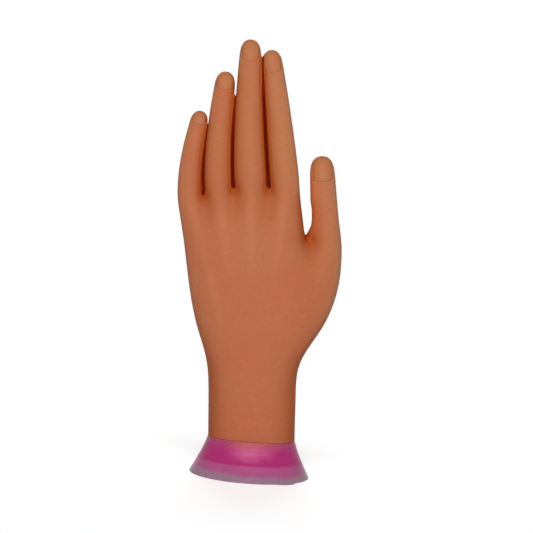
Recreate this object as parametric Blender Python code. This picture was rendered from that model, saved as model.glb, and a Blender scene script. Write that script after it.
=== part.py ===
"""A nail practice hand: a soft left hand with wired, bendable fingers and slide-in nails, on a suction cup.

Sizes are in metres and +Z is up. The back of the hand and its nails face -Y, and the thumb is at +X.
The cup stands flat, and the hand leans on it a little towards the little finger.
"""

import math
from dataclasses import dataclass

import bmesh
import bpy
from mathutils import Matrix, Vector

# Running gap between two pieces that touch
SEAM = 0.0003

# Suction cup
CUP_HEIGHT = 0.0179
CUP_RIM_RADIUS = 0.0298
CUP_FLARE = 1.25  # power of the cone's curve, where 1 is straight
CUP_RING_HEIGHT = 0.0048
CUP_RING_PROUD = 0.0005
SKIRT_EDGE = 0.0012
SKIRT_WALL = 0.0017
CUP_HOLLOW_HEIGHT = 0.0080
CUP_DOME = ((0.30, 0.0003), (0.58, 0.0013))  # share of the rim's radius, and drop below the dome's top
SKIRT_ROOT_HEIGHT = 0.0040
SKIRT_ROOT_STEP = 0.0028  # from the skirt's root in to the foot of the dome
COLLAR_WALL = 0.0013
COLLAR_STEP = 0.00015  # the collar stands this far out of the wrist
SOCKET_DEPTH = 0.0070
KNOB_RADIUS = 0.0060
KNOB_BEAD = 0.0007
KNOB_HEIGHT = 0.0110
PULL_TAB_LENGTH = 0.0020
PULL_TAB_WIDTH = 0.0130
PULL_TAB_THICKNESS = 0.0013
PULL_TAB_ANGLE = math.radians(-52)
CUP_SEGMENTS = 36

# Wrist, and the hand's lean on the cup
HAND_LEAN = math.radians(4.0)
WRIST_WIDTH = 0.0433
WRIST_DEPTH = 0.0326
OVAL_POWER = 2.2  # the wrist's oval, where 2 is an ellipse

# The palm's outline at heights above the cup, each row as
# height, little finger's side, thumb's side, back, palm face
PALM_STATIONS = (
    (0.019, 0.0215, 0.0222, 0.0158, 0.0163),
    (0.034, 0.0215, 0.0223, 0.0148, 0.0163),
    (0.044, 0.0236, 0.0279, 0.0142, 0.0163),
    (0.054, 0.0271, 0.0358, 0.0138, 0.0163),
    (0.064, 0.0295, 0.0410, 0.0133, 0.0160),
    (0.075, 0.0313, 0.0446, 0.0127, 0.0153),
    (0.086, 0.0327, 0.0461, 0.0121, 0.0143),
    (0.097, 0.0339, 0.0463, 0.0112, 0.0129),
)
PALM_POWER = 2.5  # the palm's flatter oval
SPIGOT_ROWS = (-0.018, -0.008, 0.004)  # heights of the wrist's lowest rows, which run down into the cup

# Mounds and hollow of the palm's face, each as share across from the little finger's side, height,
# share of the breadth that it reaches, length that it reaches, and how far it stands out
PALM_RELIEF = (
    (0.80, 0.060, 0.30, 0.030, 0.0040),
    (0.18, 0.048, 0.24, 0.032, 0.0024),
    (0.48, 0.080, 0.22, 0.022, -0.0016),
)
ROWS_ABOVE_THUMB = 4
VALLEY_POWER = 1.7  # how late the valleys between the knuckles deepen
WEB_DROP = 0.0032  # the knuckle row lies this far below the webs
WEB_GAP = 0.0020
THUMB_WEB_HOLLOW = 0.0024
THUMB_WEB_HOLLOW_LENGTH = 0.024

# Fingers in general
SECTION_FULLNESS = 0.74  # diagonal points of a finger's section, where 0.707 is an ellipse
SECTION_POWER = 2.13  # the oval that such a section is once smoothed, where 2 is an ellipse
FINGER_DEPTH_SHARE = 0.88
TIP_LENGTH_SHARE = 0.74  # length of the rounded tip over its width
TIP_POWER = 2.5
FIRST_RING = 0.0030
RING_SPACING = 0.0082
BOW_SKEW = 0.8  # a finger's bow is fullest below its middle
FINGER_CURL = 0.0022  # the tips lie this far towards the palm
PAD_BULGE = 0.0004
FOLLOW = (2 + math.cos(math.pi / 4)) / 3  # how far an eight-point ring draws in when it is smoothed

# Knuckles
ROOT_MARGIN = 0.0013  # the lowest cut stays this far above the web
KNUCKLE_EASE = 0.00025

# Nails
NAIL_THICKNESS = 0.0006
NAIL_WIDTH_SHARE = 0.74
NAIL_SINK = 0.0007  # depth of the nail below the skin at its cuticle
NAIL_FLUSH = 0.0002  # the same past NAIL_RISE, from where it follows the fingertip
NAIL_RISE = 0.0026
NAIL_ROOT = 0.0022  # length held in the slot
NAIL_CUTICLE_ARC = 0.0014
NAIL_EDGE_ARC = 0.0028
NAIL_SETBACK = 0.0009
NAIL_BED_OPEN = 0.0040  # the bed is clear this far above the nail
NAIL_COLUMNS = 7
NAIL_ROWS = 4

# Armature
WIRE_RADIUS = 0.0008
WIRE_SIDES = 8
WIRE_GRIP = 0.0035  # length of wire in a fingertip
WIRE_ANCHOR = 0.0120  # length of wire in the core
CORE_THICKNESS = 0.0070
CORE_TOP = 0.0960
CORE_FOOT_WIDTH = 0.0240
CORE_FOOT = 0.0040
CORE_WAIST = 0.0360
CORE_THUMB_RISE = 0.0200  # the core widens over this height on the thumb's side
CORE_LITTLE_RISE = 0.0240
CORE_LITTLE_SLANT = 0.0030
CORE_MARGIN = 0.0045  # from a wire's middle to the core's side
PLUG_WIDTH = 0.0300
PLUG_DEPTH = 0.0210
PLUG_HEIGHT = 0.0148


@dataclass(frozen=True)
class Finger:
    """One finger. Heights are above the cup along the hand, and x is positive towards the thumb."""

    name: str
    root_x: float
    little_web: float
    thumb_web: float
    tip_x: float
    tip_height: float
    bow: float
    root_width: float
    tip_width: float
    taper: float
    forward: float
    cuticle: float
    knuckles: tuple  # name, height (None for the one above the web) and largest bend in degrees
    anchor: tuple  # x and height of the wire's exit from the core

    @property
    def web(self):
        return max(self.little_web, self.thumb_web)

    @property
    def root_cut(self):
        return self.web + ROOT_MARGIN


LITTLE_RING_WEB = 0.1209
RING_MIDDLE_WEB = 0.1246
MIDDLE_INDEX_WEB = 0.1246
THUMB_WEB = 0.1009
THUMB_WEB_X = 0.0276

FINGERS = (
    Finger(
        "little",
        root_x=-0.0308, little_web=LITTLE_RING_WEB, thumb_web=LITTLE_RING_WEB,
        tip_x=-0.0251, tip_height=0.1625, bow=-0.0016, forward=0.0008,
        root_width=0.0118, tip_width=0.0080, taper=1.5, cuticle=0.1559,
        knuckles=(("base", None, 65), ("middle", 0.1384, 80), ("tip", 0.1488, 50)),
        anchor=(-0.0215, CORE_TOP),
    ),
    Finger(
        "ring",
        root_x=-0.0164, little_web=LITTLE_RING_WEB, thumb_web=RING_MIDDLE_WEB,
        tip_x=-0.0126, tip_height=0.1820, bow=-0.0014, forward=0.0003,
        root_width=0.0137, tip_width=0.0094, taper=1.5, cuticle=0.1731,
        knuckles=(("base", None, 65), ("middle", 0.1470, 80), ("tip", 0.1631, 50)),
        anchor=(-0.0115, CORE_TOP),
    ),
    Finger(
        "middle",
        root_x=-0.0004, little_web=RING_MIDDLE_WEB, thumb_web=MIDDLE_INDEX_WEB,
        tip_x=-0.0005, tip_height=0.1979, bow=-0.0010, forward=0.0,
        root_width=0.0162, tip_width=0.0097, taper=1.5, cuticle=0.1879,
        knuckles=(("base", None, 65), ("middle", 0.1539, 80), ("tip", 0.1744, 50)),
        anchor=(-0.0003, CORE_TOP),
    ),
    Finger(
        "index",
        root_x=0.0165, little_web=MIDDLE_INDEX_WEB, thumb_web=MIDDLE_INDEX_WEB,
        tip_x=0.0094, tip_height=0.1927, bow=0.0003, forward=0.0002,
        root_width=0.0145, tip_width=0.0093, taper=1.5, cuticle=0.1820,
        knuckles=(("base", None, 65), ("middle", 0.1518, 80), ("tip", 0.1709, 50)),
        anchor=(0.0115, CORE_TOP),
    ),
    Finger(
        "thumb",
        root_x=0.0367, little_web=THUMB_WEB, thumb_web=THUMB_WEB,
        tip_x=0.0348, tip_height=0.1403, bow=0.0, forward=0.0030,
        root_width=0.0154, tip_width=0.0120, taper=0.5, cuticle=0.1269,
        knuckles=(("lower", None, 45), ("tip", 0.1194, 60)),
        anchor=(0.0215, 0.0720),
    ),
)
LITTLE, RING, MIDDLE, INDEX, THUMB = FINGERS
LONG_FINGERS = (LITTLE, RING, MIDDLE, INDEX)

# Colours as linear red, green and blue, then roughness
SKIN = ((0.520, 0.165, 0.078), 0.55)
KNUCKLE_SKIN = ((0.510, 0.158, 0.074), 0.58)
NAIL = ((0.500, 0.180, 0.085), 0.32)
CUP_PINK = ((0.390, 0.040, 0.170), 0.35)
WIRE_STEEL = ((0.560, 0.560, 0.570), 0.35)
CORE_WHITE = ((0.700, 0.690, 0.650), 0.50)
PLUG_WHITE = ((0.620, 0.600, 0.560), 0.50)

OCTAGON = (
    (-1, 0), (-SECTION_FULLNESS, -SECTION_FULLNESS), (0, -1), (SECTION_FULLNESS, -SECTION_FULLNESS),
    (1, 0), (SECTION_FULLNESS, SECTION_FULLNESS), (0, 1), (-SECTION_FULLNESS, SECTION_FULLNESS),
)


def clear_scene():
    for obj in list(bpy.data.objects):
        bpy.data.objects.remove(obj, do_unlink=True)


def mix(a, b, share):
    return a + (b - a) * share


def ease(value):
    value = min(max(value, 0.0), 1.0)
    return value * value * (3 - 2 * value)


# Materials and objects


def material(name, look, metallic=0.0):
    colour, roughness = look
    made = bpy.data.materials.new(name)
    made.use_nodes = True
    shader = made.node_tree.nodes["Principled BSDF"]
    shader.inputs["Base Color"].default_value = (*colour, 1.0)
    shader.inputs["Roughness"].default_value = roughness
    shader.inputs["Metallic"].default_value = metallic
    return made


def empty(name, matrix, parent):
    made = bpy.data.objects.new(name, None)
    made.empty_display_size = 0.006
    bpy.context.collection.objects.link(made)
    made.parent = parent
    made.matrix_local = matrix
    return made


def add_object(name, bm, parent, look=None, frame=None, metallic=0.0):
    """Makes an object of bm, whose points are in the hand's frame. frame is the parent's place in it."""
    bmesh.ops.recalc_face_normals(bm, faces=bm.faces)
    mesh = bpy.data.meshes.new(name)
    for face in bm.faces:
        face.material_index = 0
    bm.to_mesh(mesh)
    bm.free()
    if frame is not None:
        mesh.transform(frame.inverted())
    made = bpy.data.objects.new(name, mesh)
    bpy.context.collection.objects.link(made)
    made.parent = parent
    if look:
        mesh.materials.append(material(name, look, metallic))
        mesh.shade_smooth()
        mesh.set_sharp_from_angle(angle=math.radians(38))
    return made


def add_cutter(name, bm, parent):
    made = add_object(name, bm, parent)
    made.hide_render = True
    made.display_type = "WIRE"
    return made


def cut_away(obj, *cutters):
    for cutter in cutters:
        modifier = obj.modifiers.new(cutter.name, "BOOLEAN")
        modifier.operation = "DIFFERENCE"
        modifier.solver = "EXACT"
        modifier.object = cutter


# A finger's line and sections


def finger_share(finger, height):
    return (height - finger.web) / (finger.tip_height - finger.web)


def centre(finger, height):
    share = finger_share(finger, height)
    bowed = max(share, 0) ** BOW_SKEW
    x = mix(finger.root_x, finger.tip_x, share) + 4 * finger.bow * bowed * (1 - bowed)
    y = finger.forward + FINGER_CURL * max(share, 0) ** 2
    return Vector((x, y, height))


def section_frame(finger, height):
    """A matrix at the finger's centre with X across it, Y towards the palm and Z along it."""
    step = 0.0005
    along = (centre(finger, height + step) - centre(finger, height - step)).normalized()
    across = Vector((along.z, 0, -along.x)).normalized()
    palmward = along.cross(across)
    frame = Matrix((across, palmward, along)).transposed().to_4x4()
    frame.translation = centre(finger, height)
    return frame


def plain_width(finger, height):
    share = min(max(finger_share(finger, height), 0), 1)
    return mix(finger.root_width, finger.tip_width, share**finger.taper)


def rounding(finger, height):
    """How much of the width is left at a height, as the tip rounds off."""
    length = TIP_LENGTH_SHARE * finger.tip_width
    left = min(max((finger.tip_height - height) / length, 0), 1)
    return (1 - (1 - left) ** TIP_POWER) ** (1 / TIP_POWER)


def half_width(finger, height):
    return plain_width(finger, height) / 2 * rounding(finger, height)


def half_depth(finger, height):
    return half_width(finger, height) * FINGER_DEPTH_SHARE


def finger_ring(finger, height):
    frame = section_frame(finger, height)
    wide, deep = half_width(finger, height) / FOLLOW, half_depth(finger, height) / FOLLOW
    pad = PAD_BULGE * math.sin(math.pi * min(max(finger_share(finger, height), 0), 1) ** 3)
    return [frame @ Vector((x * wide, y * deep + max(y, 0) * pad, 0)) for x, y in OCTAGON]


def ring_heights(finger):
    tip_length = TIP_LENGTH_SHARE * finger.tip_width
    low, high = finger.web + FIRST_RING, finger.tip_height - tip_length
    count = max(math.ceil((high - low) / RING_SPACING), 2)
    body = [mix(low, high, i / count) for i in range(count + 1)]
    return body + [finger.tip_height - tip_length * share for share in (0.56, 0.26, 0.08, 0.012)]


# The smoothed surface of the whole hand


class Cage:
    """The control mesh of the hand's surface, made of four-sided faces only."""

    def __init__(self):
        self.bm = bmesh.new()

    def points(self, places):
        return [self.bm.verts.new(place) for place in places]

    def face(self, corners, region):
        self.bm.faces.new(corners).material_index = region

    def band(self, lower, upper, region, closed=True):
        count = len(lower)
        for i in range(count if closed else count - 1):
            j = (i + 1) % count
            self.face((lower[i], lower[j], upper[j], upper[i]), region)

    def close_tip(self, ring, peak, region):
        top = self.bm.verts.new(peak)
        for i in range(0, 8, 2):
            self.face((ring[i - 1], ring[i], ring[i + 1], top), region)


def arch(share, power):
    return (1 - abs(2 * share - 1) ** power) ** (1 / power)


def knuckle_columns():
    """Places of the knuckle row's back and palm points, each from the little finger to the index finger."""
    back, front = [], []
    for finger in LONG_FINGERS:
        low = (finger.little_web, (finger.little_web + finger.thumb_web) / 2, finger.thumb_web)
        for side, web in zip((-1, 0, 1), low):
            height = web - WEB_DROP
            full = 1 if side == 0 else SECTION_FULLNESS
            x = finger.root_x + side * SECTION_FULLNESS * finger.root_width / 2 / FOLLOW
            deep = full * finger.root_width * FINGER_DEPTH_SHARE / 2 / FOLLOW
            back.append(Vector((x, finger.forward - deep, height)))
            front.append(Vector((x, finger.forward + deep, height)))
    return back, front


def column_shares():
    """How far across the hand each of its 15 back points lies, at the wrist and at the thumb's root."""
    at_wrist = [(1 - math.cos(math.pi * (i + 1) / 16)) / 2 for i in range(15)]
    knuckles, _ = knuckle_columns()
    left = LITTLE.root_x - LITTLE.root_width / 2
    right = INDEX.root_x + INDEX.root_width / 2
    top = PALM_STATIONS[-1]
    breadth = top[1] + top[2]
    at_thumb = [(p.x - left) / (right - left) * (THUMB_WEB_X + top[1]) / breadth for p in knuckles]
    reach = SECTION_FULLNESS * THUMB.root_width / 2
    at_thumb += [(THUMB.root_x + side * reach + top[1]) / breadth for side in (-1, 0, 1)]
    return at_wrist, at_thumb


def palm_relief(share, height):
    """How far the mounds of the palm's face stand out at a place."""
    out = 0.0
    for at, level, reach, length, rise in PALM_RELIEF:
        out += rise * math.exp(-(((share - at) / reach) ** 2) - ((height - level) / length) ** 2)
    return out


def palm_row(station):
    """The 32 points round the wrist or palm: the little finger's side, the back, the thumb's side, the palm."""
    height, little_side, thumb_side, back, front = station
    at_wrist, at_thumb = column_shares()
    low, high = PALM_STATIONS[0][0], PALM_STATIONS[-1][0]
    up = ease((height - low) / (high - low))
    power = mix(OVAL_POWER, PALM_POWER, up)
    hollow = THUMB_WEB_HOLLOW * ease(1 - (high - height) / THUMB_WEB_HOLLOW_LENGTH)
    backs, fronts = [], []
    for i, (a, b) in enumerate(zip(at_wrist, at_thumb)):
        share = mix(a, b, up)
        x = -little_side + share * (little_side + thumb_side)
        shift = THUMB.forward * ease((share - 0.55) / 0.35) * up
        pinch = hollow if i in (11, 12) else 0
        backs.append(Vector((x, shift + pinch - back * arch(share, power), height)))
        deep = front * arch(share, power) + palm_relief(share, height)
        fronts.append(Vector((x, shift - pinch + deep, height)))
    thumb_edge = Vector((thumb_side, THUMB.forward * up, height))
    return [Vector((-little_side, 0, height)), *backs, thumb_edge, *reversed(fronts)]


def wrist_row(height):
    return palm_row((height, WRIST_WIDTH / 2, WRIST_WIDTH / 2, WRIST_DEPTH / 2, WRIST_DEPTH / 2))


def grow_finger(cage, finger, root_ring, region):
    ring = root_ring
    for height in ring_heights(finger):
        upper = cage.points(finger_ring(finger, height))
        cage.band(ring, upper, region)
        ring = upper
    peak = centre(finger, finger.tip_height + 0.0002)
    cage.close_tip(ring, peak, region)


def web_points(cage, x, height, gap, y=0.0):
    """The two points at the bottom of the gap between two fingers."""
    return cage.points([Vector((x - gap / 2, y, height)), Vector((x + gap / 2, y, height))])


def build_cage():
    cage = Cage()
    rows = [wrist_row(h) for h in SPIGOT_ROWS] + [palm_row(s) for s in PALM_STATIONS]
    rings = [cage.points(row) for row in rows]
    for lower, upper in zip(rings, rings[1:]):
        cage.band(lower, upper, 0)
    top = rings[-1]

    # The web between the index finger and the thumb
    thumb_low, thumb_high = web_points(cage, THUMB_WEB_X, THUMB_WEB, WEB_GAP, THUMB.forward / 2)
    cage.face((top[12], top[13], thumb_high, thumb_low), 0)
    cage.face((thumb_low, thumb_high, top[19], top[20]), 0)
    grow_finger(cage, THUMB, [thumb_high, *top[13:20]], 1 + FINGERS.index(THUMB))

    # Rows from the thumb's root to the knuckles
    backs, fronts = knuckle_columns()
    start_back, start_front = top[1:13], top[20:32][::-1]
    side_start, side_end = top[0].co.copy(), Vector((LITTLE.root_x - LITTLE.root_width / 2 / FOLLOW, 0, backs[0].z))
    index_start = thumb_low.co.copy()
    index_end = Vector((INDEX.root_x + INDEX.root_width / 2 / FOLLOW, 0, backs[-1].z))
    ring = [top[0], *start_back, thumb_low, *start_front[::-1]]
    start = [v.co.copy() for v in ring]
    end = [side_end, *backs, index_end, *fronts[::-1]]
    for row in range(1, ROWS_ABOVE_THUMB + 1):
        share = row / ROWS_ABOVE_THUMB
        places = []
        for i, (a, b) in enumerate(zip(start, end)):
            place = a.lerp(b, share)
            valley = i not in (0, 13) and (i - (1 if i < 13 else 14)) % 3 != 1
            if valley:
                place.y = mix(a.y, b.y, share**VALLEY_POWER)
            places.append(place)
        upper = cage.points(places)
        cage.band(ring, upper, 0)
        ring = upper

    # Webs between the long fingers, then the fingers
    lefts, rights = [ring[0]], []
    backs, fronts = ring[1:13], ring[14:26][::-1]
    for i, (a, b) in enumerate(zip(LONG_FINGERS, LONG_FINGERS[1:])):
        edge_a, edge_b = a.root_x + a.root_width / 2, b.root_x - b.root_width / 2
        low, high = web_points(cage, (edge_a + edge_b) / 2, a.thumb_web, WEB_GAP, (a.forward + b.forward) / 2)
        cage.face((backs[3 * i + 2], backs[3 * i + 3], high, low), 0)
        cage.face((low, high, fronts[3 * i + 3], fronts[3 * i + 2]), 0)
        rights.append(low)
        lefts.append(high)
    rights.append(ring[13])
    for i, finger in enumerate(LONG_FINGERS):
        back, front = backs[3 * i : 3 * i + 3], fronts[3 * i : 3 * i + 3]
        grow_finger(cage, finger, [lefts[i], *back, rights[i], *front[::-1]], 1 + i)
    return cage.bm


def smoothed_hand(parent):
    """Smooths the control mesh, which stays in the scene as a guide, and returns the surface."""
    mesh = bpy.data.meshes.new("hand_cage")
    bm = build_cage()
    bm.to_mesh(mesh)
    bm.free()
    guide = bpy.data.objects.new("hand_cage", mesh)
    bpy.context.collection.objects.link(guide)
    guide.parent = parent
    guide.hide_render = True
    guide.display_type = "WIRE"
    smooth = guide.modifiers.new("Smooth", "SUBSURF")
    smooth.levels = smooth.render_levels = 1
    graph = bpy.context.evaluated_depsgraph_get()
    return bpy.data.meshes.new_from_object(guide.evaluated_get(graph))


def surface(hand, regions):
    """The part of the hand's surface that lies in these regions: 0 for the palm, then one for each finger."""
    bm = bmesh.new()
    bm.from_mesh(hand)
    bmesh.ops.delete(bm, geom=[f for f in bm.faces if f.material_index not in regions], context="FACES")
    return bm


def trim(bm, point, normal, region=None):
    """Removes what lies past a plane on the side that its normal points to."""
    faces = [f for f in bm.faces if region is None or f.material_index == region]
    edges = {e for f in faces for e in f.edges}
    verts = {v for f in faces for v in f.verts}
    bmesh.ops.bisect_plane(
        bm, geom=[*faces, *edges, *verts], plane_co=point, plane_no=normal, clear_outer=True, dist=1e-7
    )


def close(bm):
    bmesh.ops.holes_fill(bm, edges=[e for e in bm.edges if e.is_boundary], sides=0)
    return bm


# Knuckles: where each one is, how long its cuff is and how far it bends


@dataclass(frozen=True)
class Knuckle:
    name: str
    frame: Matrix  # in the hand's frame, with its X axis on the joint's axis and Z along the finger
    half_length: float

    def plane(self, offset):
        return self.frame @ Vector((0, 0, offset)), self.frame.to_3x3() @ Vector((0, 0, 1))


def knuckles_of(finger):
    found = []
    for name, height, bend in finger.knuckles:
        place = height or finger.root_cut
        half = (half_depth(finger, place) + PAD_BULGE / 2) * math.tan(math.radians(bend / 2)) + KNUCKLE_EASE
        if height is None:
            place = finger.root_cut + SEAM + half
        found.append(Knuckle(f"{finger.name}_{name}", section_frame(finger, place), half))
    return found


# Nails and their beds


def nail_frame(finger):
    return section_frame(finger, finger.cuticle)


def nail_reach(finger):
    """Half the nail's width, which is the same all along it, so that it can slide out."""
    return NAIL_WIDTH_SHARE * half_width(finger, finger.cuticle)


def nail_columns():
    return [-math.cos(math.pi * i / (NAIL_COLUMNS - 1)) for i in range(NAIL_COLUMNS)]


def cuticle_line(u):
    return NAIL_CUTICLE_ARC * (1 - math.sqrt(1 - u * u))


def free_edge(finger, u):
    length = finger.tip_height - finger.cuticle - NAIL_SETBACK
    return length - NAIL_EDGE_ARC * (1 - math.sqrt(1 - u * u))


def skin_depth(finger, x, height):
    """How far the finger's back lies from its centre line, at x across it."""
    share = min(abs(x) / half_width(finger, height), 0.96)
    return half_depth(finger, height) * (1 - share**SECTION_POWER) ** (1 / SECTION_POWER)


def nail_depth(finger, x, along):
    """How far the nail's outer face lies from the centre line. It runs straight in the slot, then it rises and follows
    the fingertip."""
    sink = mix(NAIL_SINK, NAIL_FLUSH, ease(along / NAIL_RISE))
    return skin_depth(finger, x, finger.cuticle + max(along, 0)) - sink


def nail_point(finger, x, along, out, under=False, past=0.0):
    """A point at x across the nail and along it from the cuticle, this far outside its outer face.
    A point under the nail never rises on the way to the tip, so the nail's root can slide out over it.
    past moves the point straight on."""
    depth = nail_depth(finger, x, along)
    if under:
        depth = min(nail_depth(finger, x, along * i / 8) for i in range(9))
    slant = math.asin(x / half_width(finger, finger.cuticle))
    place = Vector((x + out * math.sin(slant), -depth - out * math.cos(slant), along + past))
    return nail_frame(finger) @ place


def slab(inner, outer):
    """A closed solid between two grids of points with as many rows and columns each."""
    bm = bmesh.new()
    low = [[bm.verts.new(p) for p in row] for row in inner]
    high = [[bm.verts.new(p) for p in row] for row in outer]
    for a, b, c, d in zip(low, low[1:], high, high[1:]):
        for i in range(len(a) - 1):
            bm.faces.new((a[i], a[i + 1], b[i + 1], b[i]))
            bm.faces.new((c[i], d[i], d[i + 1], c[i + 1]))
        for i in (0, -1):
            bm.faces.new((a[i], b[i], d[i], c[i]))
    for i in (0, -1):
        for k in range(len(low[i]) - 1):
            bm.faces.new((low[i][k], low[i][k + 1], high[i][k + 1], high[i][k]))
    return bm


def nail_plate(finger):
    inner, outer = [], []
    for u in nail_columns():
        x, lip, free = u * nail_reach(finger), cuticle_line(u), free_edge(finger, u)
        stations = [lip - NAIL_ROOT] + [mix(lip, free, i / NAIL_ROWS) for i in range(NAIL_ROWS + 1)]
        inner.append([nail_point(finger, x, along, -NAIL_THICKNESS, under=True) for along in stations])
        outer.append([nail_point(finger, x, along, 0) for along in stations])
    return slab(inner, outer)


def nail_bed(finger):
    """The slot under the cuticle and the open bed beyond it, which a nail leaves along the finger."""
    floor, far = -NAIL_THICKNESS - SEAM, NAIL_EDGE_ARC + NAIL_SETBACK + 2 * SEAM
    inner, outer = [], []
    for u in nail_columns():
        x, lip, free = u * (nail_reach(finger) + SEAM), cuticle_line(u), free_edge(finger, u) + SEAM
        slot = [lip - NAIL_ROOT - SEAM, lip - SEAM / 2]
        bed = [mix(lip, free, i / NAIL_ROWS) for i in range(NAIL_ROWS + 1)]
        inner.append([nail_point(finger, x, along, floor, under=True) for along in slot + bed])
        outer.append([nail_point(finger, x, along, SEAM) for along in slot])
        outer[-1] += [nail_point(finger, x, along, NAIL_BED_OPEN, under=True) for along in bed]
        inner[-1].append(nail_point(finger, x, free, floor, under=True, past=far))
        outer[-1].append(nail_point(finger, x, free, NAIL_BED_OPEN, under=True, past=far))
    return slab(inner, outer)


# Wires and their channels


def wire_path(finger):
    exit_x, exit_height = finger.anchor
    start = Vector((exit_x, 0, exit_height))
    root = centre(finger, finger.web)
    run = (root - start).length
    lead = ((root - start).normalized() + Vector((0, 0, 1))).normalized()
    up = section_frame(finger, finger.web).to_3x3() @ Vector((0, 0, 1))
    a, b = start + lead * run / 3, root - up * run / 3
    points = [start - lead * WIRE_ANCHOR]
    for i in range(5):
        t = i / 4
        points.append((1 - t) ** 3 * start + 3 * t * (1 - t) ** 2 * a + 3 * t * t * (1 - t) * b + t**3 * root)
    last = knuckles_of(finger)[-1]
    end = last.frame.translation.z + last.half_length + WIRE_GRIP
    steps = math.ceil((end - finger.web) / RING_SPACING)
    return points + [centre(finger, mix(finger.web, end, (i + 1) / steps)) for i in range(steps)]


def tube(points, radius, past_end=0.0):
    bm = bmesh.new()
    points = list(points)
    points[0] = points[0] + (points[0] - points[1]).normalized() * past_end
    points[-1] = points[-1] + (points[-1] - points[-2]).normalized() * past_end
    rings = []
    for i, point in enumerate(points):
        along = (points[min(i + 1, len(points) - 1)] - points[max(i - 1, 0)]).normalized()
        across = Vector((along.z, 0, -along.x)).normalized()
        palmward = along.cross(across)
        turns = [2 * math.pi * k / WIRE_SIDES for k in range(WIRE_SIDES)]
        rings.append([
            bm.verts.new(point + radius * (math.cos(t) * across + math.sin(t) * palmward)) for t in turns
        ])
    for a, b in zip(rings, rings[1:]):
        for k in range(WIRE_SIDES):
            m = (k + 1) % WIRE_SIDES
            bm.faces.new((a[k], a[m], b[m], b[k]))
    bm.faces.new(rings[0][::-1])
    bm.faces.new(rings[-1])
    return bm


# Core, plug and cup


def core_outline():
    """The core's outline in X and Z: a foot, a shoulder for the thumb's wire and a top edge for the others."""
    half_foot, thumb_corner = CORE_FOOT_WIDTH / 2, CORE_WAIST + CORE_THUMB_RISE
    little_side, index_side = LITTLE.anchor[0] - CORE_MARGIN, INDEX.anchor[0] + CORE_MARGIN
    thumb_side, shoulder = THUMB.anchor[0] + CORE_MARGIN, THUMB.anchor[1]
    return [
        (-half_foot, CORE_FOOT), (half_foot, CORE_FOOT), (half_foot, CORE_WAIST), (thumb_side, thumb_corner),
        (thumb_side, shoulder), (index_side, shoulder), (index_side, CORE_TOP), (little_side, CORE_TOP),
        (little_side + CORE_LITTLE_SLANT, CORE_WAIST + CORE_LITTLE_RISE), (-half_foot, CORE_WAIST),
    ]


def offset_outline(outline, distance):
    """Moves each side of an outline that runs anticlockwise outwards."""
    moved = []
    count = len(outline)
    for i in range(count):
        before, here, after = (Vector(outline[(i + k) % count]) for k in (-1, 0, 1))
        first, second = (here - before).normalized(), (after - here).normalized()
        out_a, out_b = Vector((first.y, -first.x)), Vector((second.y, -second.x))
        moved.append(here + (out_a + out_b) * distance / (1 + out_a.dot(out_b)))
    return moved


def core_block(grow=0.0):
    bm = bmesh.new()
    outline = offset_outline(core_outline(), grow)
    half = CORE_THICKNESS / 2 + grow
    face = bm.faces.new([bm.verts.new((p.x, -half, p.y)) for p in outline])
    made = bmesh.ops.extrude_face_region(bm, geom=[face])["geom"]
    bmesh.ops.translate(bm, vec=(0, 2 * half, 0), verts=[v for v in made if isinstance(v, bmesh.types.BMVert)])
    return bm


def oval(half_x, half_y, height, round_share=0.0, radius=0.0, tab=0.0):
    """A ring of points: the wrist's oval, turned by round_share into a circle, with the pull tab's bump."""
    points = []
    for i in range(CUP_SEGMENTS):
        turn = 2 * math.pi * i / CUP_SEGMENTS
        c, s = math.cos(turn), math.sin(turn)
        x = half_x * math.copysign(abs(c) ** (2 / OVAL_POWER), c)
        y = half_y * math.copysign(abs(s) ** (2 / OVAL_POWER), s)
        away = abs((turn - PULL_TAB_ANGLE + math.pi) % (2 * math.pi) - math.pi) * CUP_RIM_RADIUS
        bump = tab * (1 - ease((away - PULL_TAB_WIDTH / 4) / (PULL_TAB_WIDTH / 4)))
        reach = radius + bump
        points.append(Vector((mix(x, reach * c, round_share), mix(y, reach * s, round_share), height)))
    return points


def ring_solid(rings, start=True, end=True):
    """Joins rings of points in order and closes the two ends, or the last ring to the first."""
    bm = bmesh.new()
    made = [[bm.verts.new(p) for p in ring] for ring in rings]
    pairs = list(zip(made, made[1:]))
    if not start:
        pairs.append((made[-1], made[0]))
    for a, b in pairs:
        for i in range(CUP_SEGMENTS):
            j = (i + 1) % CUP_SEGMENTS
            bm.faces.new((a[i], a[j], b[j], b[i]))
    if start:
        bm.faces.new(made[0][::-1])
    if end:
        bm.faces.new(made[-1])
    return bm


def collar_sizes():
    """Half sizes of the collar outside, of its socket and of the wrist's spigot in it."""
    outer = [WRIST_WIDTH / 2 + COLLAR_STEP, WRIST_DEPTH / 2 + COLLAR_STEP]
    socket = [size - COLLAR_WALL for size in outer]
    return outer, socket, [size - SEAM for size in socket]


SOCKET_FLOOR = CUP_HEIGHT - SOCKET_DEPTH


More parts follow.
